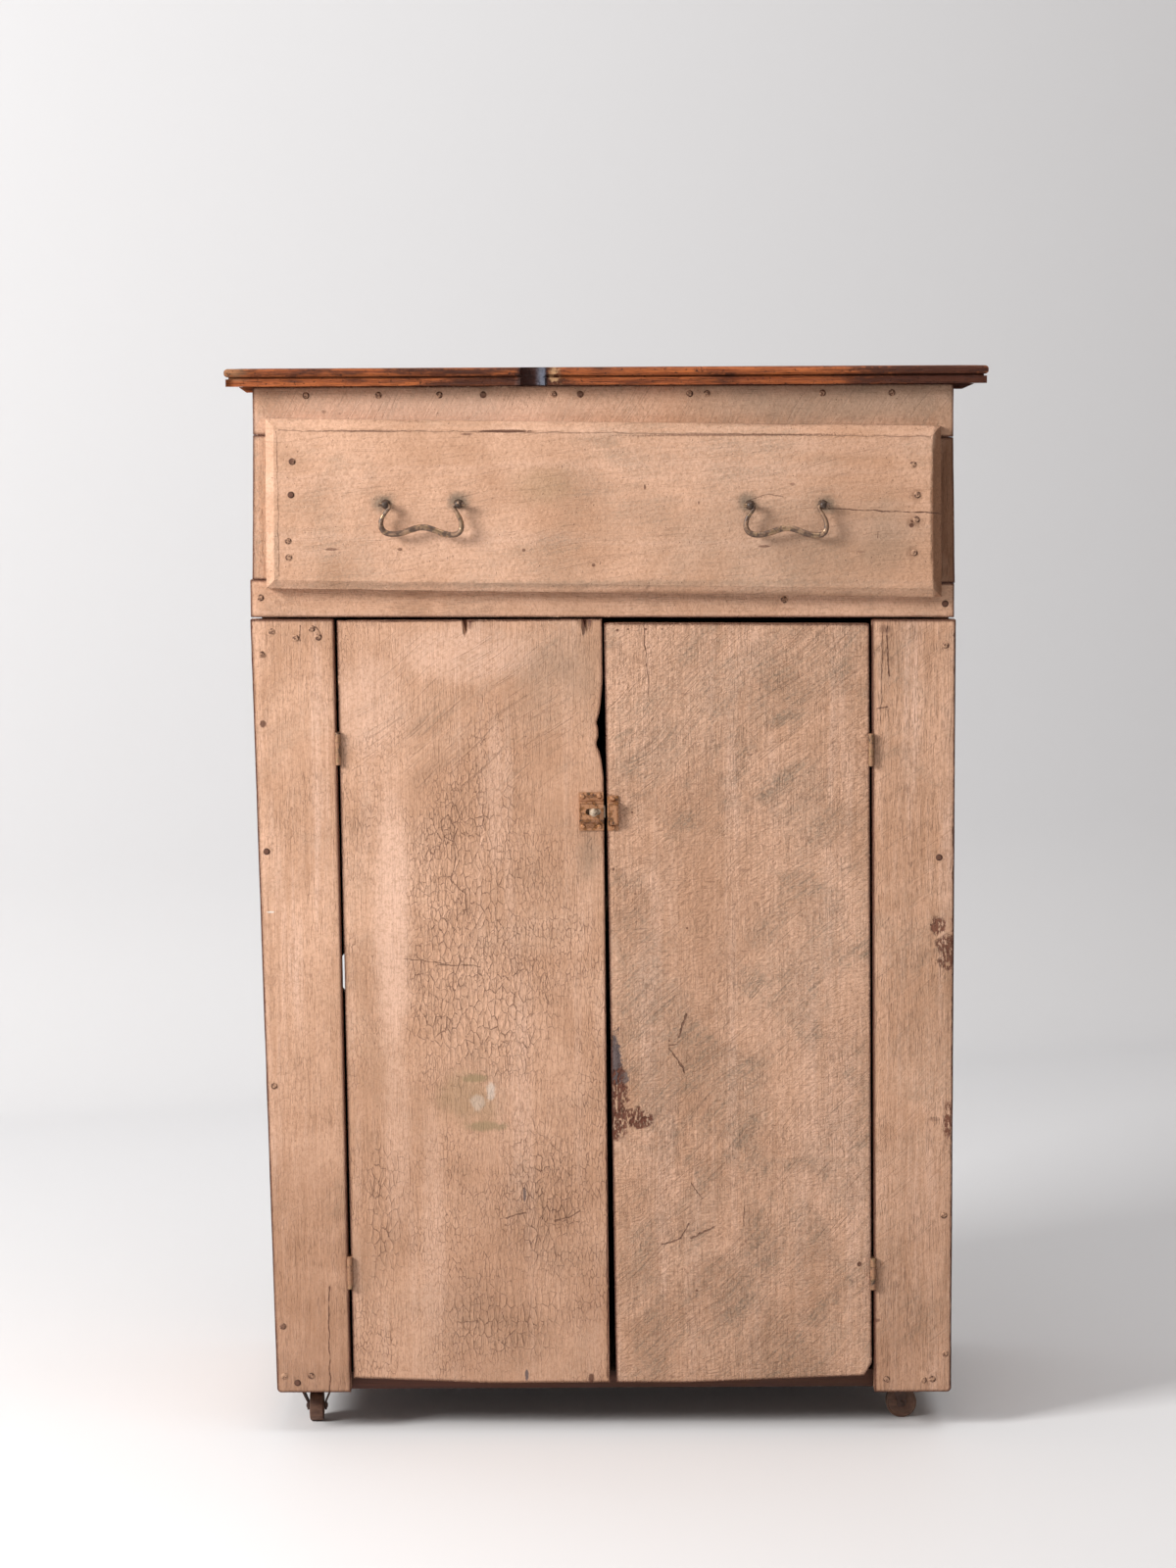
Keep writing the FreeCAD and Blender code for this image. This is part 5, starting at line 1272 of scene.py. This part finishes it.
def pressPlate(name, body, boxHeight, look, material):
    piece = ageBoard(name, body, material, soften=0.0005, wander=0.00012, spacing=0.0025)
    low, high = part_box(name)
    middle = (low[2] + high[2]) / 2
    front, edge = low[1], look["edge"]
    mesh = bmesh.new()
    mesh.from_mesh(piece.data)
    left, right = low[0] + edge, high[0] - edge
    foot, head = middle - boxHeight / 2 + edge, middle + boxHeight / 2 - edge
    count = int((right - left) / look["pitch"])
    for index in range(count + 1):
        x = left + (right - left) * index / count
        for z in (foot, head):
            addBead(mesh, x, front, z, look)
    count = int((head - foot) / look["pitch"])
    for index in range(1, count):
        z = foot + (head - foot) * index / count
        addBead(mesh, left, front, z, look)
        if name == "catch_keeper":
            addBead(mesh, right, front, z, look)
    if name == "catch_case":
        centre = (low[0] + high[0]) / 2
        for z in (low[2] + look["ringInset"], high[2] - look["ringInset"]):
            for step in (-1, 0, 1):
                addRing(mesh, centre + step * look["ringPitch"], high[1] - look["plate"], z, look)
    bmesh.ops.recalc_face_normals(mesh, faces=mesh.faces)
    mesh.to_mesh(piece.data)
    mesh.free()
    smoothFaces(piece.data)


pressPlate("catch_case", "door_left", catchLook["catchBox"], catchLook, metals["catchBrass"])
pressPlate("catch_keeper", "door_right", catchLook["keeperBox"], catchLook, metals["catchBrass"])

wheelWood = makeBareWood("wheelWood", wheelLook, (60.0, 60.0, 240.0))
for corner in ("front_left", "front_right", "back_left", "back_right"):
    dressNodes(metals["casterIron"], "caster_fork_" + corner, "caster_axle_" + corner)
    dressNodes(wheelWood, "caster_wheel_" + corner)
print("metal and casters done")


# floor and backdrop in one swept sheet

studio = {
    "tone": (0.77, 0.775, 0.79, 1.0),
    "roughness": 0.55,
    "shine": 0.25,
    "wallFoot": [(-3.2, 1.12), (3.2, 3.22)],  # x and y of its two ends
    "coveRadius": 0.35,
    "coveSteps": 18,
    "wallHeight": 4.5,
    "front": -7.0,
    "frontSpread": 1.6,  # how much wider the floor is in front
}


def makeStudio(look):
    material = bpy.data.materials.new("studioSheet")
    material.use_nodes = True
    tree = building["tree"] = material.node_tree
    shader = tree.nodes["Principled BSDF"]
    shader.inputs["Base Color"].default_value = look["tone"]
    shader.inputs["Roughness"].default_value = look["roughness"]
    shader.inputs["Specular IOR Level"].default_value = look["shine"]
    clear = addNode("BsdfTransparent")
    back = addNode("NewGeometry").outputs["Backfacing"]
    mix = addNode("MixShader", in0=back, in1=shader.outputs[0], in2=clear.outputs[0])
    plug(tree.nodes["Material Output"].inputs["Surface"], mix.outputs[0])

    # points of the section: distance back from the wall's foot, and height
    radius = look["coveRadius"]
    section = []
    for index in range(look["coveSteps"] + 1):
        turn = math.radians(90.0 / look["coveSteps"] * index)
        section.append((-radius + radius * math.sin(turn), radius - radius * math.cos(turn)))
    section.append((0.0, look["wallHeight"]))
    mesh = bmesh.new()
    rows = []
    for x, y in look["wallFoot"]:
        row = [mesh.verts.new((x * look["frontSpread"], look["front"], 0.0))]
        row += [mesh.verts.new((x, y + away, height)) for away, height in section]
        rows.append(row)
    left, right = rows
    for index in range(len(section)):
        mesh.faces.new((left[index], right[index], right[index + 1], left[index + 1]))
    data = bpy.data.meshes.new("studioSheet")
    mesh.to_mesh(data)
    mesh.free()
    smoothFaces(data)
    data.materials.append(material)
    addPiece("studioSheet", data)


makeStudio(studio)


# light: a large soft window to the left of the camera, a weak fill, and a pale room

lamps = {
    "key": {
        "at": (-3.2, -2.1, 2.35), "to": (0.0, 0.0, 0.6), "size": 1.3, "power": 205.0,
        "tint": (1.0, 0.985, 0.965),
    },
    "fill": {
        "at": (2.4, -3.6, 2.2), "to": (0.0, 0.0, 0.5), "size": 2.4, "power": 8.0,
        "tint": (1.0, 0.97, 0.94),
    },
    "above": {
        "at": (0.5, -0.5, 3.4), "to": (0.35, 0.2, 0.0), "size": 2.6, "power": 47.0,
        "tint": (1.0, 1.0, 1.0),
    },
}
for name, lamp in lamps.items():
    light = bpy.data.lights.new(name, "AREA")
    light.shape = "SQUARE"
    light.size = lamp["size"]
    light.energy = lamp["power"]
    light.color = lamp["tint"]
    holder = addPiece(name, light)
    holder.location = lamp["at"]
    aim = Vector(lamp["to"]) - Vector(lamp["at"])
    holder.rotation_euler = aim.to_track_quat("-Z", "Y").to_euler()

roomLook = {"light": (1.0, 0.91, 0.86, 1.0), "strength": 0.215, "seen": (0.86, 0.86, 0.87, 1.0)}
room = bpy.data.worlds.new("room")
room.use_nodes = True
tree = building["tree"] = room.node_tree
glow = tree.nodes["Background"]
glow.inputs["Color"].default_value = roomLook["light"]
glow.inputs["Strength"].default_value = roomLook["strength"]
seen = addNode("Background", Color=roomLook["seen"], Strength=1.0)
direct = addNode("LightPath").outputs["Is Camera Ray"]
mix = addNode("MixShader", in0=direct, in1=glow.outputs[0], in2=seen.outputs[0])
plug(tree.nodes["World Output"].inputs["Surface"], mix.outputs[0])
bpy.context.scene.world = room
bpy.context.scene.view_settings.view_transform = "Standard"
print("studio lit")


# camera

eye = {"at": (-0.0212, -4.17225, 1.146), "down": 6.3, "roll": -0.3, "lens": 86.85}
lens = bpy.data.cameras.new("eye")
lens.lens = eye["lens"]
lens.clip_start = 0.05
camera = addPiece("eye", lens)
tilt = Matrix.Rotation(math.radians(90.0 - eye["down"]), 4, "X")
roll = Matrix.Rotation(math.radians(eye["roll"]), 4, "Z")
camera.matrix_world = Matrix.Translation(eye["at"]) @ tilt @ roll
bpy.context.scene.camera = camera

print("cupboard ready")
